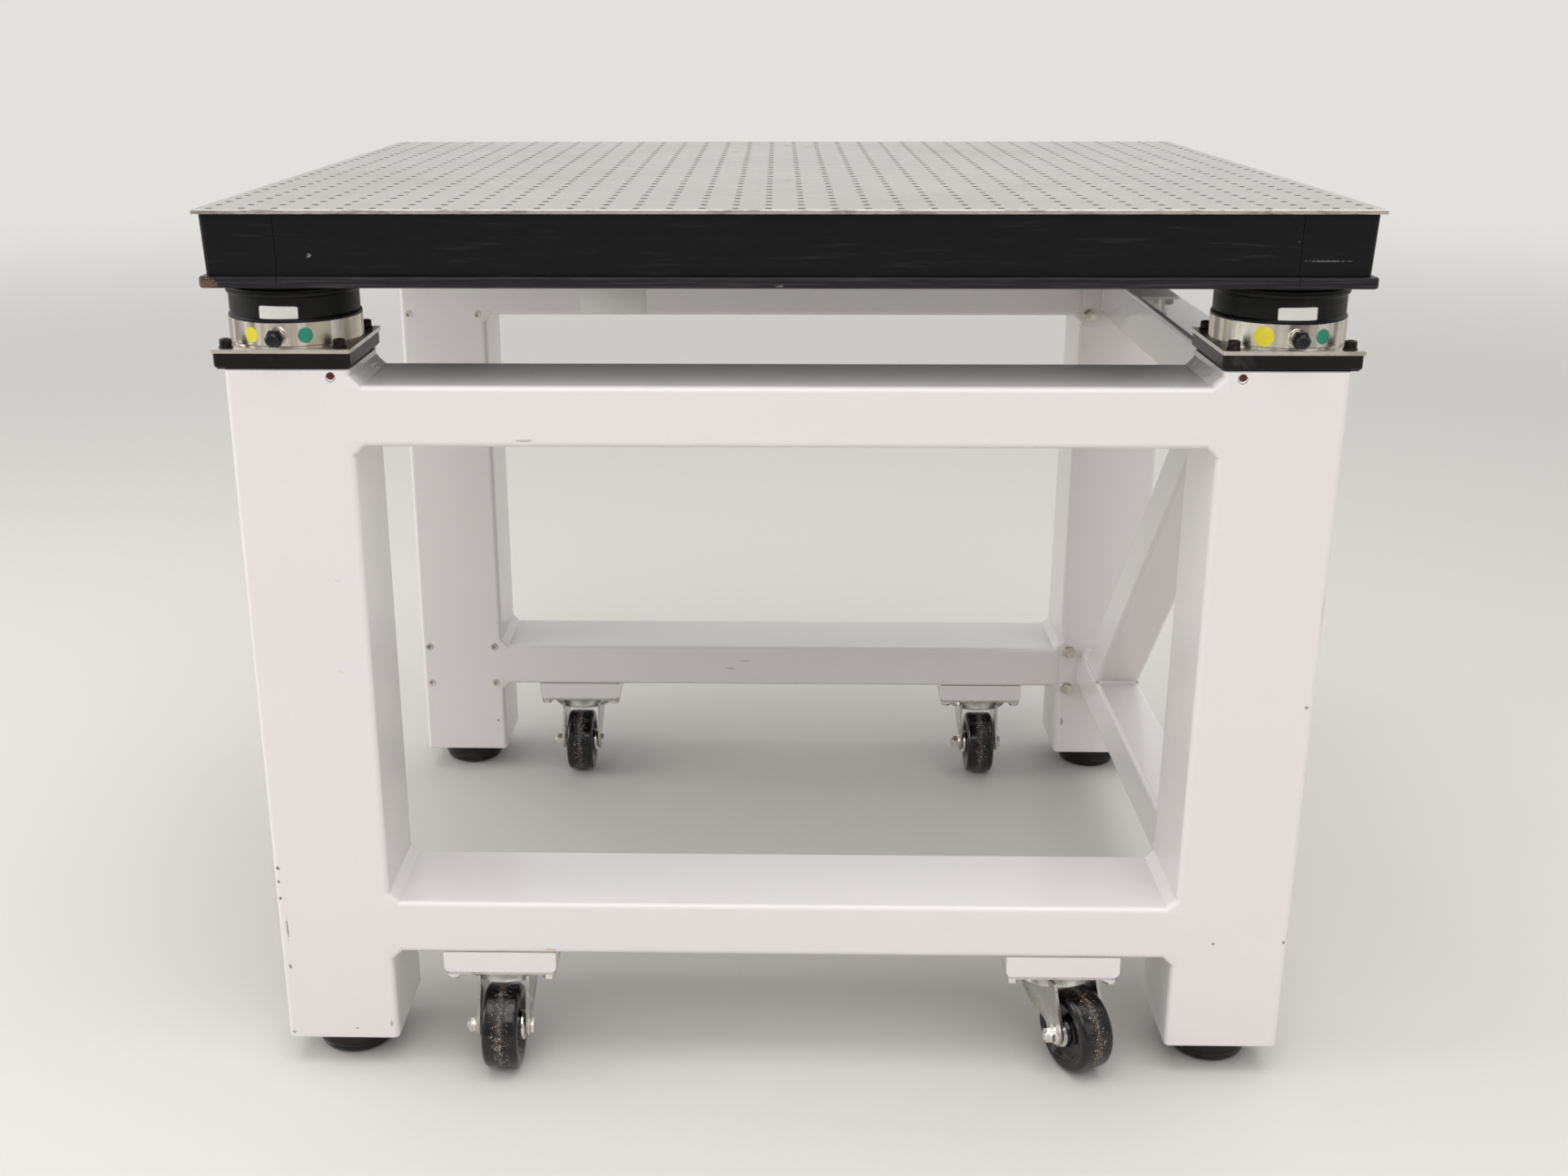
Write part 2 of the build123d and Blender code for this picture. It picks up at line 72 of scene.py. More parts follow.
# Places that the pieces share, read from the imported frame

skin_low, skin_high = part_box("top_skin")
leg_low, leg_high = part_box("leg_fl")
pitch = 25.4 * MM
columns = 36
rows = 30
leg_size = leg_high.x - leg_low.x
leg_x = -(leg_low.x + leg_high.x) / 2
leg_y = -(leg_low.y + leg_high.y) / 2
screw_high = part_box("isolator_screws")[1]
sheet_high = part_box("isolator_sheets")[1]
ring_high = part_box("isolator_rings")[1]
rubber_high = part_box("isolator_rubbers")[1]
ring_radius = 53.5 * MM
rubber_radius = 52.0 * MM
isolator_x = ring_high.x - ring_radius
sheet_size = 111.5 * MM
isolator_y = sheet_high.y - sheet_size / 2
tube_corner = 5 * MM
frame_bolt_across = 40.25 * MM
frame_bolt_up = 24 * MM


# Small tools for meshes


def millimetres(points):
    return [tuple(value * MM for value in point) for point in points]


def riding(piece, body, slot, *replaced):
    """A piece that moves with a body, and may replace CAD nodes."""
    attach(piece, body)
    if replaced:
        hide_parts(*replaced)


def fixed(piece, slot, *replaced):
    """A piece that belongs to the standing frame."""
    riding(piece, "frame", slot, *replaced)


def mesh_piece(name, shape, *finishes):
    """A finished bmesh as an object at the origin, with its sharp edges kept sharp."""
    bmesh.ops.remove_doubles(shape, verts=shape.verts, dist=1e-6)
    bmesh.ops.recalc_face_normals(shape, faces=shape.faces)
    soften(shape)
    mesh = bpy.data.meshes.new(name)
    shape.to_mesh(mesh)
    shape.free()
    for finish in finishes:
        mesh.materials.append(finish)
    piece = bpy.data.objects.new(name, mesh)
    scene.collection.objects.link(piece)
    return piece


def soften(shape, angle=32):
    """Smooth shading, apart from edges that turn by more than this angle in degrees."""
    for face in shape.faces:
        face.smooth = True
    for edge in shape.edges:
        edge.smooth = len(edge.link_faces) == 2 and edge.calc_face_angle(0) < math.radians(angle)


def join_loops(shape, loops):
    """Faces between each closed loop of vertices and the next. A loop of one vertex is a tip."""
    faces = []
    for first, second in zip(loops, loops[1:]):
        count = max(len(first), len(second))
        for i in range(count):
            j = (i + 1) % count
            (a, b), (d, c) = [(loop[i % len(loop)], loop[j % len(loop)]) for loop in (first, second)]
            corners = dict.fromkeys((a, b, c, d))
            if len(corners) > 2:
                faces.append(shape.faces.new(tuple(corners)))
    return faces


def close_loops(shape, loops):
    """Joined loops with a face over each end."""
    join_loops(shape, loops)
    shape.faces.new(loops[0])
    shape.faces.new(loops[-1])


def lathe(shape, profile, steps=48, place=Matrix()):
    """Turns a closed (radius, height) profile about Z and moves it to its place."""
    rings = []
    for radius, height in profile:
        spots = circle_points(steps) if radius > 1e-6 else [(0, 0)]
        rings.append([shape.verts.new(place @ Vector((radius * x, radius * y, height))) for x, y in spots])
    join_loops(shape, rings)


def hexagon(shape, flats, low, high, chamfer, place=Matrix()):
    """A six-sided nut or bolt head along Z with flat faces and chamfered edges."""
    corner = flats / math.sqrt(3)
    rings = []
    for height in (low, high):
        spots = [(x * corner, y * corner, height) for x, y in circle_points(6)]
        rings.append([shape.verts.new(place @ Vector(spot)) for spot in spots])
    ends = [shape.faces.new(rings[0][::-1]), shape.faces.new(rings[1])]
    join_loops(shape, rings)
    edges = list({edge for face in ends for edge in face.edges})
    bmesh.ops.bevel(shape, geom=edges, offset=chamfer * 0.55, segments=2, affect="EDGES", profile=0.6)


def circle_points(count):
    return [(math.cos(2 * math.pi * i / count), math.sin(2 * math.pi * i / count)) for i in range(count)]


def rounded_block(shape, low, high, radius, segments=3):
    """A box between two corners with all its edges rounded."""
    made = bmesh.ops.create_cube(shape, size=1.0)
    size = Vector(high) - Vector(low)
    middle = (Vector(high) + Vector(low)) / 2
    bmesh.ops.scale(shape, vec=size, verts=made["verts"])
    bmesh.ops.translate(shape, vec=middle, verts=made["verts"])
    edges = list({edge for vert in made["verts"] for edge in vert.link_edges})
    bmesh.ops.bevel(shape, geom=edges, offset=radius, segments=segments, affect="EDGES", profile=0.5)


# Small tools for shader and geometry trees


def put(tree, kind, settings=None, sockets=None):
    """Adds a node. Sockets are named or counted, and take a value or another node's socket."""
    node = tree.nodes.new(kind)
    for key, value in (settings or {}).items():
        setattr(node, key, value)
    for key, value in (sockets or {}).items():
        if isinstance(value, bpy.types.NodeSocket):
            tree.links.new(value, node.inputs[key])
        else:
            node.inputs[key].default_value = value
    return node


def output(tree, kind, settings=None, sockets=None, which=0):
    """Adds a node and gives one of its outputs."""
    return put(tree, kind, settings, sockets).outputs[which]


def maths(tree, operation, first, second=0.0, clamp=False):
    return output(tree, "ShaderNodeMath", {"operation": operation, "use_clamp": clamp}, {0: first, 1: second})


def times(tree, first, second):
    return maths(tree, "MULTIPLY", first, second)


def vector_maths(tree, operation, first, second, which=0):
    return output(tree, "ShaderNodeVectorMath", {"operation": operation}, {0: first, 1: second}, which)


def spread(tree, value, low, high, to_low=0.0, to_high=1.0):
    """Maps a range of a value smoothly onto another range."""
    settings = {"interpolation_type": "SMOOTHSTEP"}
    return output(tree, "ShaderNodeMapRange", settings, {0: value, 1: low, 2: high, 3: to_low, 4: to_high})


def mix_colour(tree, factor, first, second, blend="MIX"):
    settings = {"data_type": "RGBA", "blend_type": blend}
    return output(tree, "ShaderNodeMix", settings, {0: factor, 6: first, 7: second}, 2)


def stretched(tree, scale=(1, 1, 1)):
    """Object coordinates, scaled along each axis."""
    coordinates = tree.nodes.get("object coordinates")
    if coordinates is None:
        coordinates = put(tree, "ShaderNodeTexCoord", {"name": "object coordinates"})
    mapping = {"Vector": coordinates.outputs["Object"], "Scale": scale}
    return output(tree, "ShaderNodeMapping", None, mapping)


def noise(tree, vector, scale, detail=3.0, roughness=0.55):
    sockets = {"Vector": vector, "Scale": scale, "Detail": detail, "Roughness": roughness}
    return output(tree, "ShaderNodeTexNoise", None, sockets)


def centred(tree, value):
    return maths(tree, "SUBTRACT", value, 0.5)


def colour(*channels):
    """A colour written as the screen shows it, red, green and blue from 0 to 255."""
    shares = [channel / 255 for channel in channels]
    linear = [share / 12.92 if share <= 0.04045 else ((share + 0.055) / 1.055) ** 2.4 for share in shares]
    return (*linear, 1.0)


def clean_tree(holder):
    """The emptied shader tree of a material or a world."""
    holder.use_nodes = True
    holder.node_tree.nodes.clear()
    return holder.node_tree


def shader_group(name, inputs, outputs):
    """An empty shader group with these named inputs and outputs, and the sockets of its two ends."""
    group = bpy.data.node_groups.new(name, "ShaderNodeTree")
    for label, value in inputs.items():
        kind = "NodeSocketVector" if value is None else "NodeSocketFloat"
        socket = group.interface.new_socket(label, in_out="INPUT", socket_type=kind)
        if kind == "NodeSocketFloat":
            socket.default_value = value
    for label in outputs:
        group.interface.new_socket(label, in_out="OUTPUT", socket_type="NodeSocketFloat")
    return group, group.nodes.new("NodeGroupInput").outputs, group.nodes.new("NodeGroupOutput").inputs


def speckle_group():
    """Sparse spots of uneven size, such as chips in a coat or bits of dirt."""
    group, given, result = shader_group("speckles", {"Vector": None, "Scale": 60.0, "Amount": 0.2}, ["Mask"])
    sockets = {"Vector": given["Vector"], "Scale": given["Scale"]}
    cells = put(group, "ShaderNodeTexVoronoi", None, sockets)
    chosen = maths(group, "GREATER_THAN", given["Amount"], cells.outputs["Color"])
    ragged = noise(group, given["Vector"], 900.0, 2.0)
    spot = maths(group, "LESS_THAN", cells.outputs["Distance"], times(group, ragged, 0.34))
    group.links.new(times(group, spot, chosen), result["Mask"])
    return group


def cloud_group():
    """Soft uneven patches, such as dust, stains and handling marks."""
    inputs = {"Vector": None, "Scale": 8.0, "Low": 0.45, "High": 0.7}
    group, given, result = shader_group("clouds", inputs, ["Mask"])
    patches = noise(group, given["Vector"], given["Scale"], 6.0, 0.62)
    mask = spread(group, patches, given["Low"], given["High"])
    group.links.new(mask, result["Mask"])
    return group


def grain_group():
    """Fine grain along one direction, such as brushing or turning marks."""
    inputs = {"Vector": None, "Scale": 60.0, "Contrast": 1.0}
    group, given, result = shader_group("fine grain", inputs, ["Height", "Tone"])
    lines = noise(group, given["Vector"], given["Scale"], 4.0, 0.6)
    tone = times(group, centred(group, lines), given["Contrast"])
    group.links.new(lines, result["Height"])
    group.links.new(tone, result["Tone"])
    return group


def spot_group():
    """One worn or marked place with a ragged outline, at its own centre and half size."""
    inputs = {"Vector": None, "Centre": None, "Size": None, "Ragged": 0.5}
    group, given, result = shader_group("worn spot", inputs, ["Mask"])
    offset = vector_maths(group, "SUBTRACT", given["Vector"], given["Centre"])
    scaled = vector_maths(group, "DIVIDE", offset, given["Size"])
    distance = vector_maths(group, "LENGTH", scaled, (0, 0, 0), "Value")
    uneven = times(group, centred(group, given["Ragged"]), 2.6)
    mask = spread(group, maths(group, "ADD", distance, uneven), 1.0, 0.7)
    group.links.new(mask, result["Mask"])
    return group


GROUPS = {"speckles": speckle_group(), "clouds": cloud_group(), "grain": grain_group(), "spot": spot_group()}


def effect(tree, group, **values):
    """The outputs of one of the shared effects, placed with its own values."""
    sockets = {key.capitalize(): value for key, value in values.items()}
    return put(tree, "ShaderNodeGroup", {"node_tree": GROUPS[group]}, sockets).outputs


class Finish:
    """A material with one Principled shader, whose base is built up in layers. Tints are written from 0 to 255."""

    def __init__(self, name, base, roughness, metallic=0.0, **sockets):
        self.material = bpy.data.materials.new(name)
        self.tree = clean_tree(self.material)
        self.shader = put(self.tree, "ShaderNodeBsdfPrincipled")
        put(self.tree, "ShaderNodeOutputMaterial", None, {0: self.shader.outputs[0]})
        self.plain = stretched(self.tree)
        self.base = colour(*base)
        self.rough = roughness
        self.metal = metallic
        self.normal = None
        for key, value in sockets.items():
            self.shader.inputs[key.replace("_", " ")].default_value = value

    def along(self, stretch):
        return self.plain if stretch is None else stretched(self.tree, stretch)

    def places(self, kind, stretch=None, **values):
        """The mask of a shared effect."""
        return effect(self.tree, kind, vector=self.along(stretch), **values)["Mask"]

    def heights(self, low, high):
        """A mask that is 1 above the higher of two heights and 0 below the lower, or the other way round."""
        height = output(self.tree, "ShaderNodeSeparateXYZ", None, {0: self.plain}, 2)
        return spread(self.tree, height, low, high)

    def blend(self, mask, first, second):
        return output(self.tree, "ShaderNodeMix", {"data_type": "FLOAT"}, {0: mask, 2: first, 3: second})

    def layer(self, mask, tint, rough=None, metal=None):
        """Covers what lies below with a tint, a roughness and a metallic value where the mask is 1."""
        self.base = mix_colour(self.tree, mask, self.base, colour(*tint))
        if rough is not None:
            self.rough = self.blend(mask, self.rough, rough)
        if metal is not None:
            self.metal = self.blend(mask, self.metal, metal)
        return self

    def patches(self, kind, strength, tint, rough=None, metal=None, where=None, **values):
        """A layer in the places of a shared effect, limited to a second mask if there is one."""
        mask = self.places(kind, **values)
        if where is not None:
            mask = times(self.tree, mask, where)
        return self.layer(times(self.tree, mask, strength), tint, rough, metal)

    def marks(self, places):
        """Chips, scratches, stains and painted shade spots at their own places, in millimetres."""
        ragged = noise(self.tree, self.plain, 800.0, 3.0)
        for centre, size, tint, strength in places:
            middle, reach = millimetres((centre, size))
            spot = self.places("spot", centre=middle, size=reach, ragged=ragged)
            self.layer(times(self.tree, spot, strength), tint)
        return self

    def tone(self, value, amount):
        """Lightens and darkens the base by a value that is centred on 0."""
        gain = output(self.tree, "ShaderNodeMath", {"operation": "MULTIPLY_ADD"}, {0: value, 1: amount, 2: 1.0})
        grey = output(self.tree, "ShaderNodeCombineColor", None, {0: gain, 1: gain, 2: gain})
        self.base = mix_colour(self.tree, 1.0, self.base, grey, "MULTIPLY")
        return self

    def mottle(self, scale, detail, amount, roughness=0.55, stretch=None):
        """Uneven tone."""
        cloud = noise(self.tree, self.along(stretch), scale, detail, roughness)
        return self.tone(centred(self.tree, cloud), amount)

    def vary(self, scale, detail, amount):
        """Uneven roughness."""
        cloud = centred(self.tree, noise(self.tree, self.plain, scale, detail))
        change = times(self.tree, cloud, amount)
        self.rough = maths(self.tree, "ADD", self.rough, change, clamp=True)
        return self

    def bump(self, height, distance, strength=1.0):
        """Adds relief, with its depth in metres."""
        sockets = {"Height": height, "Distance": distance, "Strength": strength}
        if self.normal is not None:
            sockets["Normal"] = self.normal
        self.normal = output(self.tree, "ShaderNodeBump", None, sockets)
        return self

    def relief(self, scale, detail, distance, strength=1.0, stretch=None):
        """Uneven relief."""
        return self.bump(noise(self.tree, self.along(stretch), scale, detail), distance, strength)

    def grain(self, stretch, scale, amount, depth):
        """Fine lines along one direction, in tone and relief."""
        lines = effect(self.tree, "grain", vector=self.along(stretch), scale=scale, contrast=1.0)
        return self.tone(lines["Tone"], amount).bump(lines["Height"], depth)

    def done(self):
        values = {"Base Color": self.base, "Roughness": self.rough, "Metallic": self.metal, "Normal": self.normal}
        for label, value in values.items():
            if isinstance(value, bpy.types.NodeSocket):
                self.tree.links.new(value, self.shader.inputs[label])
            elif value is not None:
                self.shader.inputs[label].default_value = value
        return self.material


# Finishes


DARK = (64, 58, 53)
GREY = (146, 142, 137)
TAN = (202, 182, 154)
FAINT = (214, 204, 186)
COAT_MARKS = [
    ((-441.0, -371, 199.7), (1.6, 3, 1.6), DARK, 0.9),
    ((-441.3, -371, 186.4), (1.2, 3, 1.8), DARK, 0.8),
    ((-441.1, -371, 170.2), (1.5, 3, 1.7), DARK, 0.9),
    ((-437.4, -371, 139.0), (0.9, 3, 10), DARK, 0.7),
    ((-438.2, -371, 101.9), (1.4, 3, 1.8), DARK, 0.8),
    ((-382.5, -371, 38.7), (2.2, 3, 1.1), GREY, 0.9),
    ((-350.8, -371, 43.9), (1.2, 3, 3.6), GREY, 0.9),
    ((-440.8, -371, 34.3), (2.2, 3, 1.6), GREY, 0.9),
    ((-367.0, -371, 465.6), (3.2, 3, 1.6), FAINT, 0.8),
    ((-370.6, -371, 385.0), (2.7, 3, 1.8), FAINT, 0.8),
    ((443.1, -371, 442.0), (0.8, 3, 20), GREY, 0.5),
    ((438.2, -371, 357.7), (1.4, 3, 1.4), DARK, 0.8),
    ((379.8, -371, 133.3), (1.4, 3, 1.4), DARK, 0.8),
    ((441.5, -371, 134.8), (1.3, 3, 1.7), DARK, 0.8),
    ((-208.0, -371, 584.4), (6.5, 3, 1.2), GREY, 0.6),
    ((352.8, 271, 70.0), (1.0, 3, 6), DARK, 0.8),
    ((-354.8, 271, 66.9), (1.4, 3, 1.8), DARK, 0.8),
    ((-62.0, 271, 139.2), (7, 3, 1.3), GREY, 0.5),
    ((-43.0, 271, 149.3), (7, 3, 1.3), GREY, 0.5),
    ((370.0, -11, 172.0), (3, 1.6, 1.6), DARK, 0.8),
    ((-204.0, -371, 121.5), (6.5, 4, 1.7), TAN, 0.75),
    # Painted shade: a near-black spot stands for a small hole on the right front leg's inner side.
    ((345.0, -274.6, 635.3), (4, 1.8, 1.8), (22, 20, 18), 1.0),
]
PANEL_MARKS = [
    ((415.5, -376, 728.0), (18, 3, 0.7), (128, 126, 130), 0.5),
    ((-368.0, -376, 731.7), (1.6, 3, 1.6), (150, 146, 146), 0.7),
    ((-449.0, -379, 710.5), (9, 7, 5), (104, 86, 70), 0.8),
    ((-3.4, -381, 709.0), (4, 4, 1.2), (120, 114, 112), 0.6),
]


def frame_coat():
    """Glossy warm white powder coat under a clear gloss, with chips, faint handling marks and a painted shade spot for
    a small hole.
    """
    coat = Finish("warm_white_coat", (222, 218.5, 217.5), 0.42, Coat_Weight=0.7, Coat_Roughness=0.03)
    worn = coat.places("clouds", scale=5.0, low=0.5, high=0.62)
    near_floor = coat.heights(0.13, 0.03)
    coat.mottle(3.0, 2.0, 0.05)
    coat.patches("clouds", 0.12, (186, 180, 170), 0.34, scale=11.0, low=0.6, high=0.78)
    coat.patches("speckles", 1.0, (88, 82, 76), 0.6, where=worn, scale=52.0, amount=0.05)
    coat.patches("speckles", 0.7, (120, 110, 98), 0.7, where=near_floor, scale=130.0, amount=0.12)
    return coat.marks(COAT_MARKS).relief(330.0, 2.0, 0.00005).relief(26.0, 2.0, 0.00035, 0.6).done()


def hole_thread():
    # Painted shade: the walls of the tapped holes are coloured dark brown to stand for the shade inside them.
    thread = Finish("hole_thread", (52, 44, 38), 0.55, 0.6)
    sockets = {"Vector": thread.plain, "Scale": 500.0}
    ridges = output(thread.tree, "ShaderNodeTexWave", {"bands_direction": "Z"}, sockets, 1)
    return thread.bump(ridges, 0.0003).done()


def panel_plastic():
    """Black edge panels: satin, a little blue, scuffed pale at the corners, and painted lighter along the lip for the
    soft highlight on its rounded edge and for scuffs.
    """
    board_thickness = 60 * MM
    skin_thickness = 3.4 * MM
    lip_height = 9 * MM
    lip_top = skin_low.z + skin_thickness - board_thickness + lip_height
    panel = Finish("panel_plastic", (10, 9, 11), 0.34, Specular_IOR_Level=0.22)
    on_lip = panel.heights(lip_top + 0.001, lip_top - 0.003)
    # Painted highlight and scuffs: lighter streaks along the lip stand partly for its soft highlight, partly for
    # rubbing.
    rubbed = {"stretch": (2.5, 2.5, 150), "scale": 7.0, "low": 0.5, "high": 0.66}
    panel.mottle(14.0, 4.0, 0.4)
    panel.patches("clouds", 0.1, (92, 88, 88), 0.5, stretch=(3, 3, 46), scale=6.0, low=0.56, high=0.72)
    # Painted highlight and scuff tone: the whole lip is painted lighter than the panel.
    panel.layer(times(panel.tree, on_lip, 0.6), (38, 35, 40), 0.4)
    panel.patches("clouds", 0.3, (98, 92, 96), 0.5, where=on_lip, **rubbed)
    panel.patches("speckles", 0.25, (140, 134, 126), 0.8, scale=240.0, amount=0.04)
    return panel.marks(PANEL_MARKS).relief(600.0, 2.0, 0.00004).relief(5.0, 3.0, 0.0006, 0.5, (5, 5, 30)).done()


def turned_aluminium():
    """Turned rings: fine lines round the axis, painted reflections as light gold and dark bands round the ring, and a
    few rubbed marks.
    """
    ring = Finish("turned_aluminium", (234, 228, 217), 0.27, 1.0).grain((2, 2, 900), 4.0, 0.3, 0.00006)
    # Painted reflections: the light gold and dark bands stand for the surroundings mirrored in the turned metal.
    bands = noise(ring.tree, ring.along((9, 9, 0.4)), 6.0, 2.0)
    ring.layer(spread(ring.tree, bands, 0.5, 0.62, 0.0, 0.6), (150, 140, 112), 0.34)
    ring.layer(spread(ring.tree, bands, 0.47, 0.36, 0.0, 0.7), (92, 86, 80), 0.3)
    return ring.patches("speckles", 0.6, (96, 90, 84), 0.6, scale=190.0, amount=0.05).done()


def zinc(name, tint, roughness):
    """Zinc plate: cloudy, a little yellow, dirty in places."""
    plate = Finish(name, tint, roughness, 1.0).mottle(60.0, 4.0, 0.45)
    plate.patches("clouds", 0.5, (128, 121, 110), 0.5, 0.85, scale=34.0, low=0.5, high=0.72)
    plate.patches("speckles", 0.7, (84, 70, 56), 0.8, 0.2, scale=260.0, amount=0.1)
    return plate.vary(210.0, 3.0, 0.3).relief(480.0, 3.0, 0.00005).done()


def wheel_rubber():
    """Hard glossy black wheels. The tread attribute says where floor dust and grit stick."""
    finish = Finish("wheel_rubber", (10, 9, 9), 0.15)
    tree = finish.tree
    tread = output(tree, "ShaderNodeAttribute", {"attribute_name": "tread"}, None, "Fac")
    finish.patches("clouds", 0.07, (98, 88, 76), 0.4, scale=55.0, low=0.5, high=0.75)
    dust = noise(tree, finish.plain, 620.0, 5.0, 0.8)
    broad = centred(tree, noise(tree, finish.plain, 60.0, 3.0))
    near = spread(tree, maths(tree, "ADD", tread, times(tree, broad, 0.5)), 0.25, 0.95)
    caked = spread(tree, maths(tree, "ADD", times(tree, near, 0.36), dust), 0.8, 0.98)
    finish.layer(times(tree, caked, 0.62), (150, 132, 119), 0.8)
    near_grit = spread(tree, tread, 0.1, 0.7)
    grains = ((520.0, 0.75, (176, 160, 146)), (330.0, 0.7, (204, 192, 178)), (210.0, 0.45, (186, 172, 156)))
    for scale, share, tint in grains:
        grit = times(tree, finish.places("speckles", scale=scale, amount=share), near_grit)
        finish.layer(times(tree, grit, 0.8), tint, 0.7)
        finish.bump(grit, 0.0005, 0.6)
    finish.bump(times(tree, dust, near), 0.0006, 0.8)
    return finish.done()


def pad_plastic():
    pad = Finish("pad_plastic", (12, 11, 11), 0.24, Specular_IOR_Level=0.35)
    near_floor = pad.heights(0.03, 0.0)
    pad.patches("clouds", 0.3, (120, 110, 98), 0.8, where=near_floor, scale=30.0, low=0.5, high=0.75)
    return pad.relief(500.0, 2.0, 0.00003).done()


def sticker(name, tint):
    """A plain printed sticker, a little faded and rubbed."""
    paper = Finish(name, tint, 0.42)
    paper.patches("clouds", 0.2, (235, 232, 220), 0.55, scale=120.0, low=0.55, high=0.7)
    return paper.relief(300.0, 2.0, 0.00006).done()


white_coat = frame_coat()
# Ground steel of the top, dulled and stained by use
top_steel = (
    Finish("ground_steel", (192, 189, 185), 0.36, 1.0)
    .grain((6, 160, 1), 9.0, 0.22, 0.00004)
    .mottle(420.0, 3.0, 0.5)
    .mottle(7.0, 5.0, 0.3, 0.65)
    .patches("clouds", 0.35, (168, 158, 146), 0.5, scale=4.0, low=0.5, high=0.75)
    .patches("speckles", 0.55, (126, 108, 92), 0.6, 0.6, scale=38.0, amount=0.1)
    .vary(55.0, 4.0, 0.3)
    .done()
)
# The thin edge of the steel top: dull, brownish and scuffed
edge_steel = (
    Finish("skin_edge", (196, 188, 180), 0.42, 0.85)
    .mottle(5.0, 5.0, 1.1, 0.65, (30, 30, 260))
    .patches("clouds", 0.6, (112, 100, 90), 0.5, stretch=(9, 9, 60), scale=6.0, low=0.5, high=0.62)
    .done()
)
thread_painted_shade = hole_thread()
black_panel = panel_plastic()
ring_metal = turned_aluminium()
sheet_metal = (
    Finish("brushed_aluminium", (218, 215, 209), 0.3, 1.0)
    .grain((20, 700, 20), 3.0, 0.35, 0.00005)
    .patches("clouds", 0.4, (126, 116, 106), 0.5, scale=30.0, low=0.52, high=0.7)
    .done()
)
# Moulded black rubber with a brown bloom of dust
rubber = (
    Finish("isolator_rubber", (8, 8, 8), 0.4, Specular_IOR_Level=0.22)
    .patches("clouds", 0.16, (78, 68, 57), 0.7, stretch=(1, 1, 3), scale=22.0, low=0.48, high=0.75)
    .relief(500.0, 3.0, 0.00008)
    .relief(5.0, 2.0, 0.0003, 0.5, (4, 4, 60))
    .done()
)
# Satin black paint of the isolators' base plates
plate_black = (
    Finish("black_coat", (10, 9, 9), 0.34, Specular_IOR_Level=0.28)
    .patches("clouds", 0.2, (96, 90, 84), 0.5, scale=40.0, low=0.58, high=0.75)
    .relief(700.0, 2.0, 0.00005)
    .done()
)
screw_black = (
    Finish("black_oxide", (36, 31, 28), 0.38, 0.8)
    .patches("clouds", 0.45, (84, 66, 52), 0.6, 0.4, scale=160.0, low=0.5, high=0.7)
    .relief(900.0, 2.0, 0.00006)
    .done()
)
cap_black = (
    Finish("cap_plastic", (14, 14, 15), 0.24, Specular_IOR_Level=0.4)
    .patches("speckles", 0.3, (120, 114, 108), 0.7, scale=420.0, amount=0.12)
    .relief(900.0, 2.0, 0.00003)
    .done()
)
caster_zinc = zinc("caster_zinc", (204, 202, 197), 0.3)
axle_zinc = zinc("axle_zinc", (232, 229, 222), 0.2)
bolt_zinc = zinc("bolt_zinc", (212, 208, 200), 0.26)
wheel_black = wheel_rubber()
pad_black = pad_plastic()
yellow_paper = sticker("yellow_sticker", (222, 208, 40))
green_paper = sticker("green_sticker", (24, 132, 104))
white_paper = sticker("white_label", (222, 221, 218))
rust = Finish("rusty_rim", (96, 50, 34), 0.8, 0.1).mottle(700.0, 4.0, 1.4).relief(900.0, 3.0, 0.0002).done()

NODE_FINISHES = {
    white_coat: ["leg_fl", "leg_fr", "leg_rl", "leg_rr", *RAILS, "side_upper_rail", "side_lower_rail",
                 "side_brace", "side_end_plates", "caster_risers"],
    # The core shows at the bottom of each hole, so it takes the same painted shade as the hole walls.
    thread_painted_shade: ["honeycomb_core"],
    plate_black: ["bottom_skin", "isolator_base_plates"],
    black_panel: ["edge_panel_front", "edge_panel_rear", "edge_panel_left", "edge_panel_right", "corner_trims"],
    sheet_metal: ["isolator_sheets"],
    ring_metal: ["isolator_rings"],
    caster_zinc: ["caster_plates"],
    bolt_zinc: ["foot_stems"],
}
for finish, names in NODE_FINISHES.items():
    for name in names:
        data = nodes[name].data
        data.materials.clear()
        data.materials.append(finish)


# Geometry trees for what repeats


def geometry_tree(name, inputs):
    """An empty geometry tree with these named inputs, and the sockets of its two ends."""
    tree = bpy.data.node_groups.new(name, "GeometryNodeTree")
    tree.interface.new_socket("Geometry", in_out="INPUT", socket_type="NodeSocketGeometry")
    for label, kind in inputs.items():
        tree.interface.new_socket(label, in_out="INPUT", socket_type=f"NodeSocket{kind}")
    tree.interface.new_socket("Geometry", in_out="OUTPUT", socket_type="NodeSocketGeometry")
    return tree, tree.nodes.new("NodeGroupInput").outputs, tree.nodes.new("NodeGroupOutput").inputs


def apply_tree(piece, tree, values):
    """Runs a geometry tree on a piece with these input values, and keeps its result as a plain mesh."""
    modifier = piece.modifiers.new(tree.name, "NODES")
    modifier.node_group = tree
    for item in tree.interface.items_tree:
        if item.item_type == "SOCKET" and item.in_out == "INPUT" and item.name in values:
            modifier[item.identifier] = values[item.name]
    bpy.context.view_layer.update()
    evaluated = piece.evaluated_get(bpy.context.evaluated_depsgraph_get())
    result = bpy.data.meshes.new_from_object(evaluated)
    piece.modifiers.remove(modifier)
    old = piece.data
    piece.data = result
    result.name = old.name
    bpy.data.meshes.remove(old)
    return piece


def set_finish(tree, geometry, finish, **more):
    return output(tree, "GeometryNodeSetMaterial", None, {"Geometry": geometry, "Material": finish, **more})


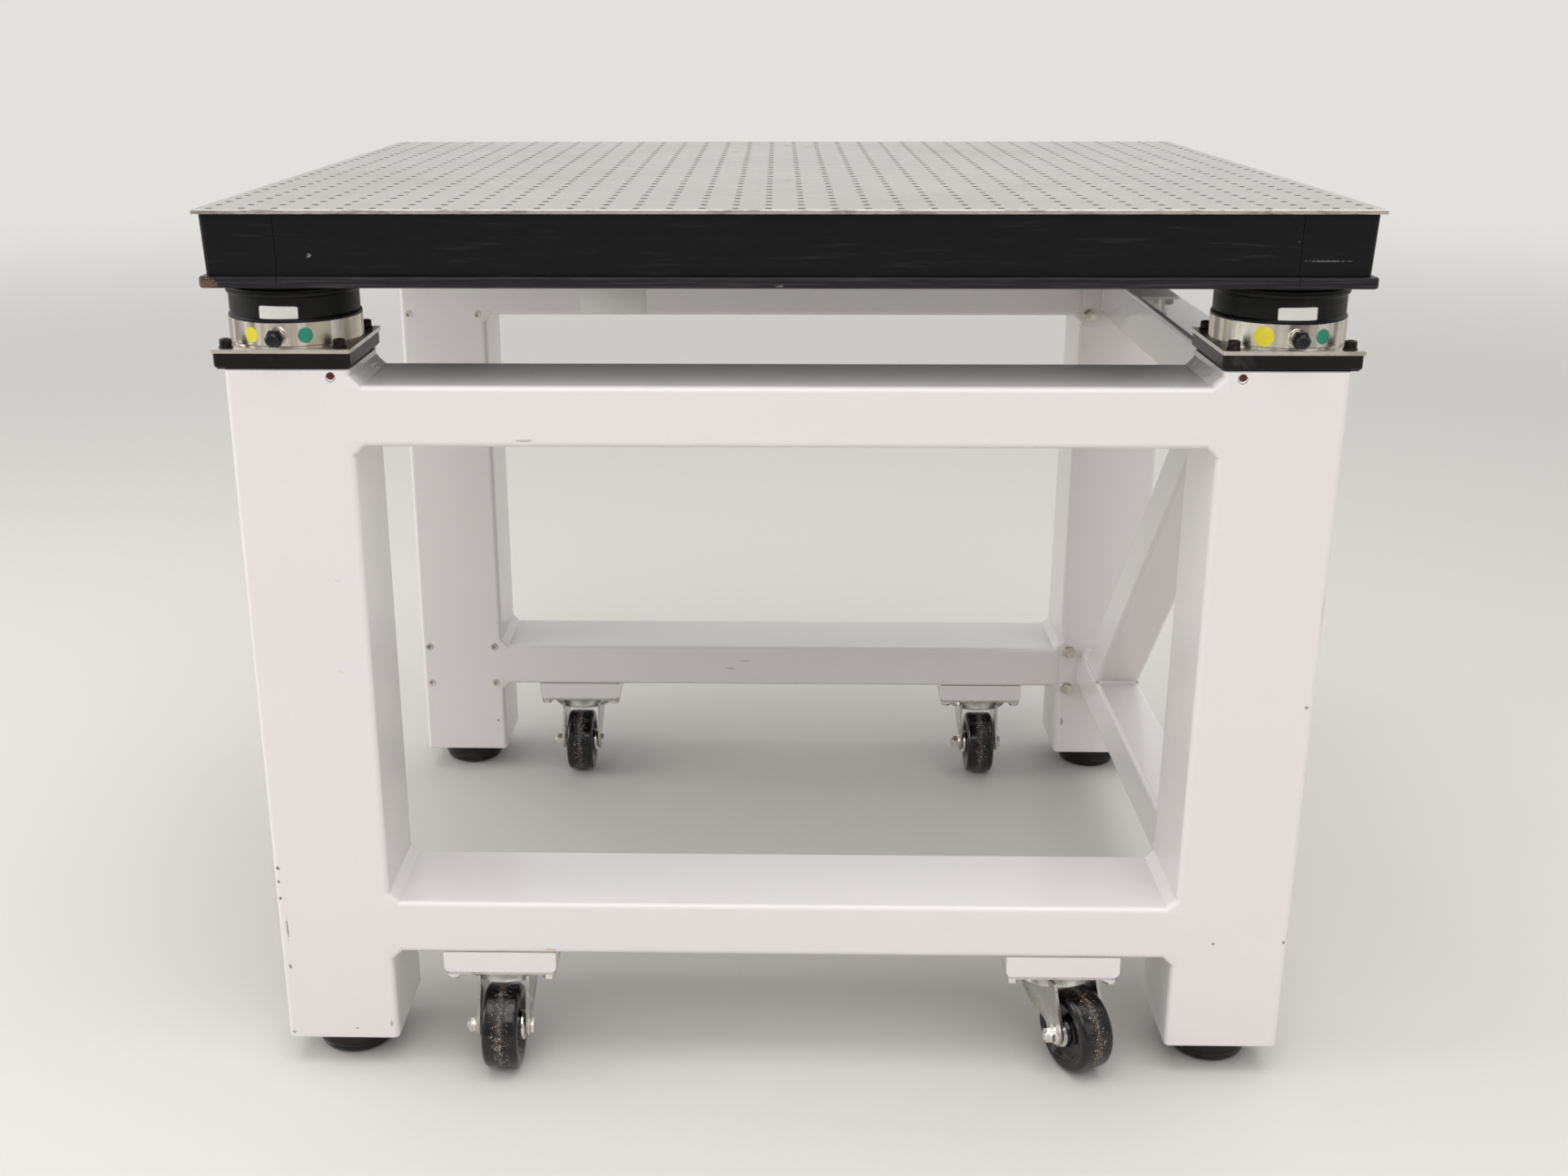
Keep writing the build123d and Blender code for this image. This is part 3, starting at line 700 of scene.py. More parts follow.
def repeat_tree():
    """Copies of one template on every point, turned at random about its own axis."""
    inputs = {"Template": "Object", "Rotation": "Vector", "Random Turn": "Float",
              "Seed": "Int", "Finish": "Material"}
    tree, given, result = geometry_tree("repeated_piece", inputs)
    template = output(tree, "GeometryNodeObjectInfo", None, {"Object": given["Template"]}, "Geometry")
    sockets = {2: 0.0, 3: given["Random Turn"], "Seed": given["Seed"]}
    turn = output(tree, "FunctionNodeRandomValue", {"data_type": "FLOAT"}, sockets, 1)
    spin = output(tree, "ShaderNodeCombineXYZ", None, {2: turn})
    own = output(tree, "FunctionNodeEulerToRotation", None, {0: given["Rotation"]})
    about = output(tree, "FunctionNodeEulerToRotation", None, {0: spin})
    both = output(tree, "FunctionNodeRotateRotation", {"rotation_space": "LOCAL"}, {0: own, 1: about})
    copies = {"Points": given["Geometry"], "Instance": template, "Rotation": both}
    placed = output(tree, "GeometryNodeInstanceOnPoints", None, copies)
    real = output(tree, "GeometryNodeRealizeInstances", None, {0: placed})
    tree.links.new(set_finish(tree, real, given["Finish"]), result[0])
    return tree


REPEAT = repeat_tree()


def repeated(name, places, template, finish, rotation=(0, 0, 0), random_turn=0.0, seed=1):
    """A piece made of copies of a template mesh at these places."""
    shape = bmesh.new()
    for place in places:
        shape.verts.new(place)
    piece = mesh_piece(name, shape)
    values = {"Template": template, "Rotation": rotation, "Random Turn": random_turn, "Seed": seed, "Finish": finish}
    return apply_tree(piece, REPEAT, values)


def drop(template):
    bpy.data.objects.remove(template)


def grid_tree():
    """A square tile with a hole, repeated over the top and trimmed to its outline."""
    inputs = {"Template": "Object", "Columns": "Int", "Rows": "Int",
              "Pitch": "Float", "Half Size": "Vector", "Top Finish": "Material",
              "Thread Finish": "Material"}
    tree, given, result = geometry_tree("tapped_grid", inputs)
    width, depth = [times(tree, given["Pitch"], maths(tree, "SUBTRACT", given[count], 1.0))
                    for count in ("Columns", "Rows")]
    sockets = {"Size X": width, "Size Y": depth, "Vertices X": given["Columns"], "Vertices Y": given["Rows"]}
    grid = output(tree, "GeometryNodeMeshGrid", None, sockets)
    template = output(tree, "GeometryNodeObjectInfo", None, {"Object": given["Template"]}, "Geometry")
    placed = output(tree, "GeometryNodeInstanceOnPoints", None, {"Points": grid, "Instance": template})
    real = output(tree, "GeometryNodeRealizeInstances", None, {0: placed})
    merged = output(tree, "GeometryNodeMergeByDistance", None, {0: real, "Distance": MERGE_REACH})
    position = output(tree, "GeometryNodeInputPosition")
    half = given["Half Size"]
    other_side = vector_maths(tree, "MULTIPLY", half, (-1, -1, -1))
    inside = vector_maths(tree, "MAXIMUM", vector_maths(tree, "MINIMUM", position, half), other_side)
    trimmed = output(tree, "GeometryNodeSetPosition", None, {0: merged, "Position": inside})
    normal = output(tree, "GeometryNodeInputNormal")
    upright = output(tree, "ShaderNodeSeparateXYZ", None, {0: normal}, 2)
    # The hole walls take the painted shade finish.
    wall = maths(tree, "LESS_THAN", maths(tree, "ABSOLUTE", upright), 0.95)
    steel = set_finish(tree, trimmed, given["Top Finish"])
    tree.links.new(set_finish(tree, steel, given["Thread Finish"], Selection=wall), result[0])
    return tree


def drilled_tile(hole, mouth, depth, chamfer, sides=16):
    """One grid square of the top skin: a chamfered hole through a closed plate of this depth."""
    shape = bmesh.new()
    half = pitch / 2

    def ring(radius, height):
        return [shape.verts.new((x * radius, y * radius, height)) for x, y in circle_points(sides)]

    def square(height):
        points = []
        for x, y in circle_points(sides):
            reach = half / max(abs(x), abs(y))
            points.append(shape.verts.new((x * reach, y * reach, height)))
        return points

    join_loops(shape, [square(0), ring(mouth, 0), ring(hole, -chamfer), ring(hole, -depth), square(-depth)])
    return shape


def drilled_top():
    """The steel top with its whole grid of holes, closed at the rim with a broken edge."""
    thickness = skin_high.z - skin_low.z
    break_size = 0.4 * MM
    tile = drilled_tile(2.6 * MM, 3.05 * MM, thickness, 0.45 * MM)
    template = mesh_piece("tile", tile)
    half = Vector((skin_high.x - break_size, skin_high.y - break_size, 1.0))
    holder = mesh_piece("steel_top", bmesh.new())
    values = {"Template": template, "Columns": columns, "Rows": rows, "Pitch": pitch, "Half Size": half,
              "Top Finish": top_steel, "Thread Finish": thread_painted_shade}
    piece = apply_tree(holder, grid_tree(), values)
    drop(template)
    shape = bmesh.new()
    shape.from_mesh(piece.data)
    bmesh.ops.remove_doubles(shape, verts=shape.verts, dist=MERGE_REACH)
    bmesh.ops.translate(shape, vec=(0, 0, skin_high.z), verts=shape.verts)
    middle = (skin_low.z + skin_high.z) / 2
    rims = {True: [], False: []}
    for edge in shape.edges:
        if edge.is_boundary:
            rims[edge.verts[0].co.z > middle].append(edge)
    edge_slot = len(piece.data.materials)
    piece.data.materials.append(edge_steel)
    outer = []
    for upper, edges in rims.items():
        made = bmesh.ops.extrude_edge_only(shape, edges=edges)["geom"]
        moved = [item for item in made if isinstance(item, bmesh.types.BMVert)]
        for vert in moved:
            vert.co.x += math.copysign(break_size, vert.co.x) if abs(vert.co.x) > half.x - 1e-6 else 0
            vert.co.y += math.copysign(break_size, vert.co.y) if abs(vert.co.y) > half.y - 1e-6 else 0
            vert.co.z += -break_size if upper else break_size
        outer += [item for item in made if isinstance(item, bmesh.types.BMEdge)]
        for face in (item for item in made if isinstance(item, bmesh.types.BMFace)):
            face.material_index = edge_slot
    for face in bmesh.ops.bridge_loops(shape, edges=outer)["faces"]:
        face.material_index = edge_slot
    bmesh.ops.recalc_face_normals(shape, faces=shape.faces)
    soften(shape, 40)
    shape.to_mesh(piece.data)
    shape.free()
    fixed(piece, "skin_steel", "top_skin")


drilled_top()


# Screws, bolts and welds


def socket_screw(radius, flange, height, socket_flats, socket_depth):
    """The head of a socket screw on a thin flange, with a rounded rim and a six-sided socket."""
    shape = bmesh.new()
    sides = 36
    outline = [(flange, 0), (flange, 0.9 * MM), (radius + 0.2 * MM, 1.3 * MM), (radius, 1.6 * MM),
               (radius, height - 1.0 * MM), (radius - 0.3 * MM, height - 0.3 * MM), (radius - 1.0 * MM, height)]
    rings = [[shape.verts.new((x * r, y * r, z)) for x, y in circle_points(sides)] for r, z in outline]
    for z in (height, height - socket_depth):
        ring = []
        for i in range(sides):
            turn = 2 * math.pi * i / sides
            reach = socket_flats / 2 / math.cos((turn + math.pi / 6) % (math.pi / 3) - math.pi / 6)
            ring.append(shape.verts.new((reach * math.cos(turn), reach * math.sin(turn), z)))
        rings.append(ring)
    close_loops(shape, rings)
    return mesh_piece("socket_screw", shape)


def squares(x, y, out, height):
    """Four places in a square, round a centre at each corner of the table."""
    return [(sx * x + ix * out, sy * y + iy * out, height) for sx, sy in CORNERS.values() for ix, iy in SIGNS]


def isolator_screw_heads():
    spacing = 91.0 * MM / 2
    head = screw_high.z - sheet_high.z
    places = squares(isolator_x, isolator_y, spacing, sheet_high.z)
    template = socket_screw(4.9 * MM, 5.7 * MM, head, 5.0 * MM, 3.6 * MM)
    piece = repeated("isolator_screw_heads", places, template, screw_black, random_turn=math.pi, seed=4)
    drop(template)
    fixed(piece, "screw_black", "isolator_screws")


def hex_bolt(flats, height, washer, thickness):
    """A hexagon head on its washer, along +Z, with its seat at z = 0."""
    shape = bmesh.new()
    rim = 0.25 * MM
    hole = 3.0 * MM
    profile = [(hole, 0), (washer - rim, 0), (washer, rim), (washer, thickness - rim), (washer - rim, thickness),
               (hole, thickness), (hole, 0)]
    lathe(shape, profile, 32)
    hexagon(shape, flats, thickness, thickness + height, 0.8 * MM)
    return mesh_piece("hex_bolt", shape)


def at_frame_holes(name, template, finish, x, face, centres, random_turn, *looks):
    """Copies at the eight holes of a side frame's ends, on the legs' front and rear faces."""
    for label, sy in (("front", -1), ("rear", 1)):
        places = [(x + ix * frame_bolt_across, sy * face, centre + iz * frame_bolt_up)
                  for centre in centres for ix, iz in SIGNS]
        rotation = (math.pi / 2 * sy, 0, 0)
        fixed(repeated(f"{name}_{label}", places, template, finish, rotation, random_turn, 7 + sy), *looks)
    drop(template)


def side_frame_bolt_heads():
    low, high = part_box("side_end_plates")
    plate_thickness = 6.0 * MM
    from_end = 37 * MM
    centres = (low.z + from_end, high.z - from_end)
    template = hex_bolt(12.0 * MM, 5.3 * MM, 7.8 * MM, 1.5 * MM)
    at_frame_holes("side_frame_bolts", template, bolt_zinc, leg_x, high.y - plate_thickness, centres, math.pi,
                   "frame_bolt_zinc", "side_frame_bolts")


def caster_plate_bolts():
    caster_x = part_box("caster_plates")[1].x - 49 * MM
    plate_under = 95.0 * MM
    template = hex_bolt(10.6 * MM, 4.0 * MM, 6.6 * MM, 1.1 * MM)
    places = squares(caster_x, leg_y, 42.5 * MM, plate_under)
    piece = repeated("caster_plate_bolts", places, template, axle_zinc, (math.pi, 0, 0), math.pi, 9)
    drop(template)
    fixed(piece, "axle_zinc")


isolator_screw_heads()
side_frame_bolt_heads()
caster_plate_bolts()


def weld_tree():
    """Turns each edge into a weld bead with a rippled surface and thin ends."""
    inputs = {"Radius": "Float", "Step": "Float", "Ripple": "Float",
              "Taper": "Float", "Seed": "Float", "Finish": "Material"}
    tree, given, result = geometry_tree("weld_bead", inputs)
    curve = output(tree, "GeometryNodeMeshToCurve", None, {0: given["Geometry"]})
    even = output(tree, "GeometryNodeResampleCurve", {"mode": "LENGTH"}, {0: curve, "Length": given["Step"]})
    beat = maths(tree, "SINE", times(tree, output(tree, "GeometryNodeInputIndex"), 1.9))
    sockets = {"W": given["Seed"], "Scale": 240.0}
    wobble = output(tree, "ShaderNodeTexNoise", {"noise_dimensions": "4D"}, sockets)
    uneven = times(tree, centred(tree, wobble), 2.4)
    uneven = maths(tree, "ADD", times(tree, beat, 0.2), uneven)
    factor = maths(tree, "ADD", times(tree, uneven, given["Ripple"]), 1.0)
    along = output(tree, "GeometryNodeSplineParameter", None, None, "Factor")
    from_end = maths(tree, "MINIMUM", along, maths(tree, "SUBTRACT", 1.0, along))
    factor = times(tree, factor, spread(tree, from_end, -0.01, given["Taper"], 0.25, 1.0))
    size = times(tree, factor, given["Radius"])
    line = output(tree, "GeometryNodeSetCurveRadius", None, {0: even, "Radius": size})
    ring = output(tree, "GeometryNodeCurvePrimitiveCircle", None, {"Resolution": 10, "Radius": 1.0})
    sockets = {"Curve": line, "Profile Curve": ring, "Fill Caps": True}
    bead = put(tree, "GeometryNodeCurveToMesh", None, sockets)
    if "Scale" in bead.inputs:
        tree.links.new(size, bead.inputs["Scale"])
    real = output(tree, "GeometryNodeRealizeInstances", None, {0: bead.outputs[0]})
    smooth = output(tree, "GeometryNodeSetShadeSmooth", None, {0: real, "Shade Smooth": True})
    tree.links.new(set_finish(tree, smooth, given["Finish"]), result[0])
    return tree


def fine_welds():
    """Beads over the caster risers and round the side frame's tubes."""
    runs = []
    inset = leg_size / 2 - tube_corner
    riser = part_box("caster_risers")[1]
    riser_width = 100 * MM
    for sx, sy in CORNERS.values():
        for x in (sx * riser.x, sx * (riser.x - riser_width)):
            runs.append(((x, sy * leg_y - inset, riser.z), (x, sy * leg_y + inset, riser.z)))
    clear = 4 * MM
    for rail in ("side_upper_rail", "side_lower_rail"):
        low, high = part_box(rail)
        for y in (low.y, high.y):
            for z in (low.z, high.z):
                runs.append(((low.x + clear, y, z), (high.x - clear, y, z)))
            for x in (low.x, high.x):
                runs.append(((x, y, low.z + clear), (x, y, high.z - clear)))
    low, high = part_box("side_brace")
    brace_size = 50 * MM
    slant = brace_size / math.sin(math.radians(46))
    for x in (low.x, high.x):
        runs.append(((x, high.y - slant, low.z), (x, high.y - 3 * MM, low.z)))
        runs.append(((x, low.y + 3 * MM, high.z), (x, low.y + slant, high.z)))
    for y, z in ((high.y, low.z), (high.y - slant, low.z), (low.y, high.z), (low.y + slant, high.z)):
        runs.append(((low.x + clear, y, z), (high.x - clear, y, z)))
    shape = bmesh.new()
    for start, end in runs:
        shape.edges.new((shape.verts.new(start), shape.verts.new(end)))
    piece = mesh_piece("fine_weld_beads", shape)
    values = {"Radius": 2.8 * MM, "Step": 1.1 * MM, "Ripple": 0.25, "Taper": 0.08, "Seed": 5.0, "Finish": white_coat}
    apply_tree(piece, weld_tree(), values)
    fixed(piece, "frame_paint")


fine_welds()


def round_off(depth):
    """How far a tube's rounded corner falls back at this depth from its face."""
    return tube_corner - math.sqrt(tube_corner**2 - max(0.0, tube_corner - depth) ** 2)


def rail_ends():
    """Each end of each rail: the corners of the rail's box, the end's X and its sign."""
    for rail in RAILS:
        low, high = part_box(rail)
        for x, sx in ((low.x, -1), (high.x, 1)):
            yield low, high, x, sx


def rail_fillets():
    """Flat lumpy fillet welds across the corners between the rails and the legs, ground round with the tubes' edges."""
    shape = bmesh.new()
    chance = random.Random(11)
    half = leg_size / 2
    ends = [half - depth * MM for depth in (-0.03, 0.3, 1.0, 2.2, 3.6, 5.0)]
    middle = [ends[-1] * (1 - 2 * i / 34) for i in range(1, 34)]
    stations = ends + middle + [-v for v in ends[::-1]]
    across = [i / 7 for i in range(8)]
    leg = 8.0 * MM
    buried = 5.4 * MM
    for low, high, x, sx in rail_ends():
        y = (low.y + high.y) / 2
        for z, sz in ((low.z, -1), (high.z, 1)):
            loops = []
            lumps = [0.0] * len(across)
            length = leg
            for v in stations:
                depth = max(0.0, half - abs(v))
                calm = min(1.0, depth / leg)
                lumps = [0.55 * lump + chance.uniform(-0.45, 0.45) * MM for lump in lumps]
                length += (leg - length) * 0.4 + chance.uniform(-0.35, 0.35) * MM * calm
                sink = round_off(depth) + 0.12 * MM
                spots = [(x + sx * buried, z - sz * buried)]
                for t, lump in zip(across, lumps):
                    swell = (lump + 0.35 * MM) * calm * math.sin(math.pi * t) * 0.7
                    px = -length + (length + sink) * t - swell
                    pz = -sink + (length + sink) * t + swell
                    spots.append((x + sx * px, z + sz * pz))
                loops.append([shape.verts.new((px, y + v, pz)) for px, pz in spots])
            close_loops(shape, loops)
    fixed(mesh_piece("rail_fillet_welds", shape, white_coat), "frame_paint")


rail_fillets()


def ground_welds():
    """Welds ground flush, which fill the rounded corner between a leg's face and a rail's."""
    shape = bmesh.new()
    steps = [0.3 * MM, 1.0 * MM, 2.2 * MM, 3.6 * MM, 5.0 * MM]
    proud = 0.02 * MM
    inner = 5.3 * MM
    for low, high, x, sx in rail_ends():
        heights = [(low.z + step, step) for step in steps] + [(high.z - step, step) for step in steps[::-1]]
        for y, sy in ((low.y, -1), (high.y, 1)):
            levels = []
            for z, step in heights:
                spots = [(x, y - sy * round_off(step) + sy * proud), (x + sx * inner, y + sy * proud),
                         (x + sx * inner, y - sy * 1.2 * MM), (x, y - sy * 5.2 * MM)]
                levels.append([shape.verts.new((px, py, z)) for px, py in spots])
            close_loops(shape, levels)
    fixed(mesh_piece("ground_welds", shape, white_coat), "frame_paint")


ground_welds()


def rail_plate():
    """A blank plate on the rear upper rail."""
    shape = bmesh.new()
    face = leg_y - leg_size / 2
    low = (-234 * MM, face - 0.35 * MM, 580 * MM)
    high = (-158 * MM, face + 0.1 * MM, 607.5 * MM)
    rounded_block(shape, low, high, 0.12 * MM, 2)
    fixed(mesh_piece("blank_rail_plate", shape, white_paper), "panel_plastic")


rail_plate()


def hole_rims():
    """Bare metal rings round the unused tapped holes of the left legs, where the coat was masked."""
    shape = bmesh.new()
    profile = [(0, -2.0), (2.1, -2.0), (2.2, -0.25), (2.8, 0.25), (4.5, 0.25), (4.9, 0.05), (4.9, -0.3), (3.35, -0.3),
               (3.35, -3.6), (0, -3.6)]
    lathe(shape, millimetres(profile), 28)
    template = mesh_piece("rim", shape)
    metal = zinc("masked_rim", (214, 211, 205), 0.5)
    centres = (603.5 * MM, 142.0 * MM)
    at_frame_holes("masked_rims", template, metal, -leg_x, leg_y - leg_size / 2, centres, 0.0, "frame_paint")


hole_rims()


def vent_rims():
    """Rust at the vent holes that show in the legs."""
    shape = bmesh.new()
    turn = Matrix.Rotation(math.pi / 2, 4, "X")
    off_centre = 35 * MM
    height = 635.5 * MM
    profile = [(0, -1.6), (2.5, -1.5), (2.8, -0.4), (3.6, 0.12), (3.9, 0.02), (3.9, -0.3), (3.3, -0.5), (3.25, -4),
               (0, -4)]
    for sx in (-1, 1):
        place = Matrix.Translation((sx * (leg_x - off_centre), -leg_y - leg_size / 2, height)) @ turn
        lathe(shape, millimetres(profile), 28, place)
    fixed(mesh_piece("vent_rims", shape, rust), "frame_paint")


vent_rims()


# Isolators: valves, stickers and labels


def valves():
    """Filling valves: a turned boss and neck, and a black cap with a hexagon grip and a domed end."""
    bosses = bmesh.new()
    caps = bmesh.new()
    boss = [(0, -3), (7.7, -3), (7.7, 3.3), (7.0, 4.0), (6.0, 4.0), (5.8, 4.6), (5.8, 6.2), (5.4, 6.5), (5.4, 7.0),
            (5.8, 7.3), (5.8, 9.0), (0, 9.0)]
    turns = [step * math.pi / 10 for step in range(1, 6)]
    dome = [(3.0 + 2.6 * math.cos(turn), 19.2 + 2.7 * math.sin(turn)) for turn in turns]
    knob = [(0, 15.4), (5.0, 15.4), (5.5, 16.4), (5.6, 19.2), *dome, (0, 22.0)]
    height = (sheet_high.z + ring_high.z) / 2
    for sx, sy in CORNERS.values():
        out = Vector((0, sy, 0))
        centre = Vector((sx * isolator_x, sy * isolator_y, height))
        face = out.to_track_quat("Z", "Y").to_matrix().to_4x4()
        place = Matrix.Translation(centre + out * ring_radius) @ face
        lathe(bosses, millimetres(boss), 40, place)
        hexagon(caps, 13.0 * MM, 8.8 * MM, 15.6 * MM, 1.0 * MM, place)
        lathe(caps, millimetres(knob), 32, place)
    fixed(mesh_piece("valve_boss_turnings", bosses, ring_metal), "valve_metal", "valve_bosses")
    fixed(mesh_piece("valve_cap_mouldings", caps, cap_black), "cap_plastic", "valve_caps")


valves()


def rubber_bodies():
    """Moulded rubber bodies: a flare on the ring, a plain wall, and a double lip with a parting line."""
    shape = bmesh.new()
    low = ring_high.z / MM
    top = rubber_high.z / MM
    flare = [(0, 0), (53.3, 0), (53.4, 1.0), (52.9, 1.9), (52.0, 2.8)]
    lips = [(52.0, 10.6), (52.5, 9.9), (53.5, 9.2), (53.9, 8.2), (53.9, 6.6), (53.45, 6.3), (53.45, 6.0), (53.9, 5.7),
            (53.8, 4.4), (53.1, 3.5), (51.9, 3.0), (51.6, 0), (0, 0)]
    profile = [(radius, low + up) for radius, up in flare] + [(radius, top - down) for radius, down in lips]
    for sx, sy in CORNERS.values():
        place = Matrix.Translation((sx * isolator_x, sy * isolator_y, 0))
        lathe(shape, millimetres(profile), 96, place)
    fixed(mesh_piece("rubber_bodies", shape, rubber), "isolator_rubber", "isolator_rubbers")


rubber_bodies()


def foot_mouldings():
    """Levelling pads: a plain wall above a rounded bottom, with a fine step between them."""
    shape = bmesh.new()
    profile = [(0, 26.5), (36.9, 26.5), (37.5, 25.9), (37.5, 17.0), (37.1, 13.0), (36.2, 9.6), (35.3, 8.3), (34.6, 8.0),
               (34.6, 7.6), (35.0, 7.2), (34.2, 4.6), (32.6, 2.4), (30.0, 0.8), (27.0, 0.0), (0, 0)]
    for sx, sy in CORNERS.values():
        lathe(shape, millimetres(profile), 80, Matrix.Translation((sx * leg_x, sy * leg_y, 0)))
    fixed(mesh_piece("foot_mouldings", shape, pad_black), "pad_plastic", "foot_pads")


foot_mouldings()


def curved_patch(shape, centre, radius, angle, height, width, tall, round_patch, tilt=0.0):
    """A thin patch that follows a cylinder, as a disc or as a label with rounded corners."""
    outline = []
    if round_patch:
        outline = [(x * width / 2, y * tall / 2) for x, y in circle_points(36)]
    else:
        corner = 1.0 * MM
        for cx, cy, start in ((1, 1, 0), (-1, 1, 90), (-1, -1, 180), (1, -1, 270)):
            for step in range(5):
                turn = math.radians(start + step * 22.5)
                x = cx * (width / 2 - corner) + corner * math.cos(turn)
                y = cy * (tall / 2 - corner) + corner * math.sin(turn)
                outline.append((x, y))
    lift = 0.15 * MM
    strips = 14
    left = -width / 2
    verts = {}

    def point(x, y, level):
        key = (round(x, 7), round(y, 7), level)
        if key not in verts:
            turned_x = x * math.cos(tilt) - y * math.sin(tilt)
            turned_y = x * math.sin(tilt) + y * math.cos(tilt)
            around = angle + turned_x / radius
            reach = radius + (lift if level else -0.1 * MM)
            spot = (centre[0] + reach * math.sin(around), centre[1] - reach * math.cos(around), height + turned_y)
            verts[key] = shape.verts.new(spot)
        return verts[key]

    def extent(x):
        """The lowest and highest y of the outline at this x."""
        crossings = []
        for (x1, y1), (x2, y2) in zip(outline, outline[1:] + outline[:1]):
            if (x1 - x) * (x2 - x) <= 0 and x1 != x2:
                crossings.append(y1 + (y2 - y1) * (x - x1) / (x2 - x1))
        return min(crossings), max(crossings)

    edge = width * 0.002
    spots = [left + edge + (width - 2 * edge) * i / strips for i in range(strips + 1)]
    pairs = [(x,) + extent(x) for x in spots]
    for (xa, lowa, higha), (xb, lowb, highb) in zip(pairs, pairs[1:]):
        for level in (0, 1):
            corners = ((xa, lowa), (xb, lowb), (xb, highb), (xa, higha))
            shape.faces.new([point(x, y, level) for x, y in corners])
        shape.faces.new((point(xa, lowa, 0), point(xb, lowb, 0), point(xb, lowb, 1), point(xa, lowa, 1)))
        shape.faces.new((point(xa, higha, 0), point(xb, highb, 0), point(xb, highb, 1), point(xa, higha, 1)))
    for x, low, high in (pairs[0], pairs[-1]):
        shape.faces.new((point(x, low, 0), point(x, high, 0), point(x, high, 1), point(x, low, 1)))


def stickers():
    """Plain round stickers on the rings and blank labels on the rubber, at the front."""
    ring_mid = (sheet_high.z + ring_high.z) / 2
    left = (-isolator_x, -isolator_y)
    right = (isolator_x, -isolator_y)
    round_stickers = {
        "yellow_dots": (yellow_paper, [(left, -25.7, 12.4 * MM), (right, -26.3, 16.4 * MM)]),
        "green_dots": (green_paper, [(left, 22.2, 12.2 * MM), (right, 24.7, 12.2 * MM)]),
    }
    for name, (paper, patches) in round_stickers.items():
        shape = bmesh.new()
        for centre, angle, width in patches:
            curved_patch(shape, centre, ring_radius, math.radians(angle), ring_mid, width, width, True)
        fixed(mesh_piece(name, shape, paper), "panel_plastic")
    shape = bmesh.new()
    for centre, tilt in ((left, -0.03), (right, 0.02)):
        curved_patch(shape, centre, rubber_radius, math.radians(0.5), 685.5 * MM, 31 * MM, 10.6 * MM, False, tilt)
    fixed(mesh_piece("blank_labels", shape, white_paper), "panel_plastic")


stickers()


# Casters


def fork_shape(shape, place, trail):
    """A pressed fork: a deep dish round the race and two legs that narrow down to the axle."""
    dish = [(6.4, 84.1), (6.4, 88.4), (16, 88.4), (20, 89.6), (31.8, 89.6), (33.2, 89.1), (34.2, 87.6), (35.0, 84.6),
            (36.0, 82.0), (37.2, 80.6), (37.6, 79.8), (37.2, 79.2), (36.3, 79.2), (34.8, 80.6), (33.6, 82.6),
            (32.6, 84.1), (6.4, 84.1)]
    lathe(shape, millimetres(dish), 64, place)
    axle_y = -trail / MM
    axle_z = 38.5
    boss = 10.8
    outline = [(-36.8, 86.5), (-37.2, 82.5), (-40.2, 75.0), (-44.0, 66.0), (-48.0, 56.0), (-50.8, 48.0),
               (axle_y - boss - 0.1, 42.5)]
    for i in range(13):
        turn = math.pi + math.pi * i / 12
        outline.append((axle_y + boss * math.cos(turn), axle_z + boss * math.sin(turn)))
    outline += [(axle_y + boss + 0.6, 41.5), (-26.0, 44.6), (-20.0, 46.4), (-13.5, 47.6), (-5.0, 49.4), (3.1, 52.4),
                (9.5, 57.0), (15.0, 63.0), (20.0, 70.5), (24.0, 78.5), (26.5, 86.5)]
    for side in (-1, 1):
        loops = []
        for x in (side * 20.5 * MM, side * 23.5 * MM):
            loops.append([shape.verts.new(place @ Vector((x, y * MM, z * MM))) for y, z in outline])
            shape.faces.new(loops[-1])
        sides = join_loops(shape, loops)
        rim = {edge for face in sides for edge in face.edges if sum(f in sides for f in edge.link_faces) == 1}
        bmesh.ops.bevel(shape, geom=list(rim), offset=0.6 * MM, segments=3, affect="EDGES", profile=0.5)
        stamped_frame(shape, place, side * 23.4 * MM, side * 23.75 * MM, -31 * MM, 58 * MM)


def stamped_frame(shape, place, inner_x, outer_x, y, z):
    """A small raised rectangle pressed into the fork's leg."""
    loops = []
    for x, wide, tall in ((inner_x, 3.0, 2.3), (outer_x, 2.8, 2.1), (outer_x, 2.0, 1.3), (inner_x, 1.8, 1.1)):
        spots = [(-wide, -tall), (wide, -tall), (wide, tall), (-wide, tall)]
        loops.append([shape.verts.new(place @ Vector((x, y + dy * MM, z + dz * MM))) for dy, dz in spots])
    join_loops(shape, loops + loops[:1])


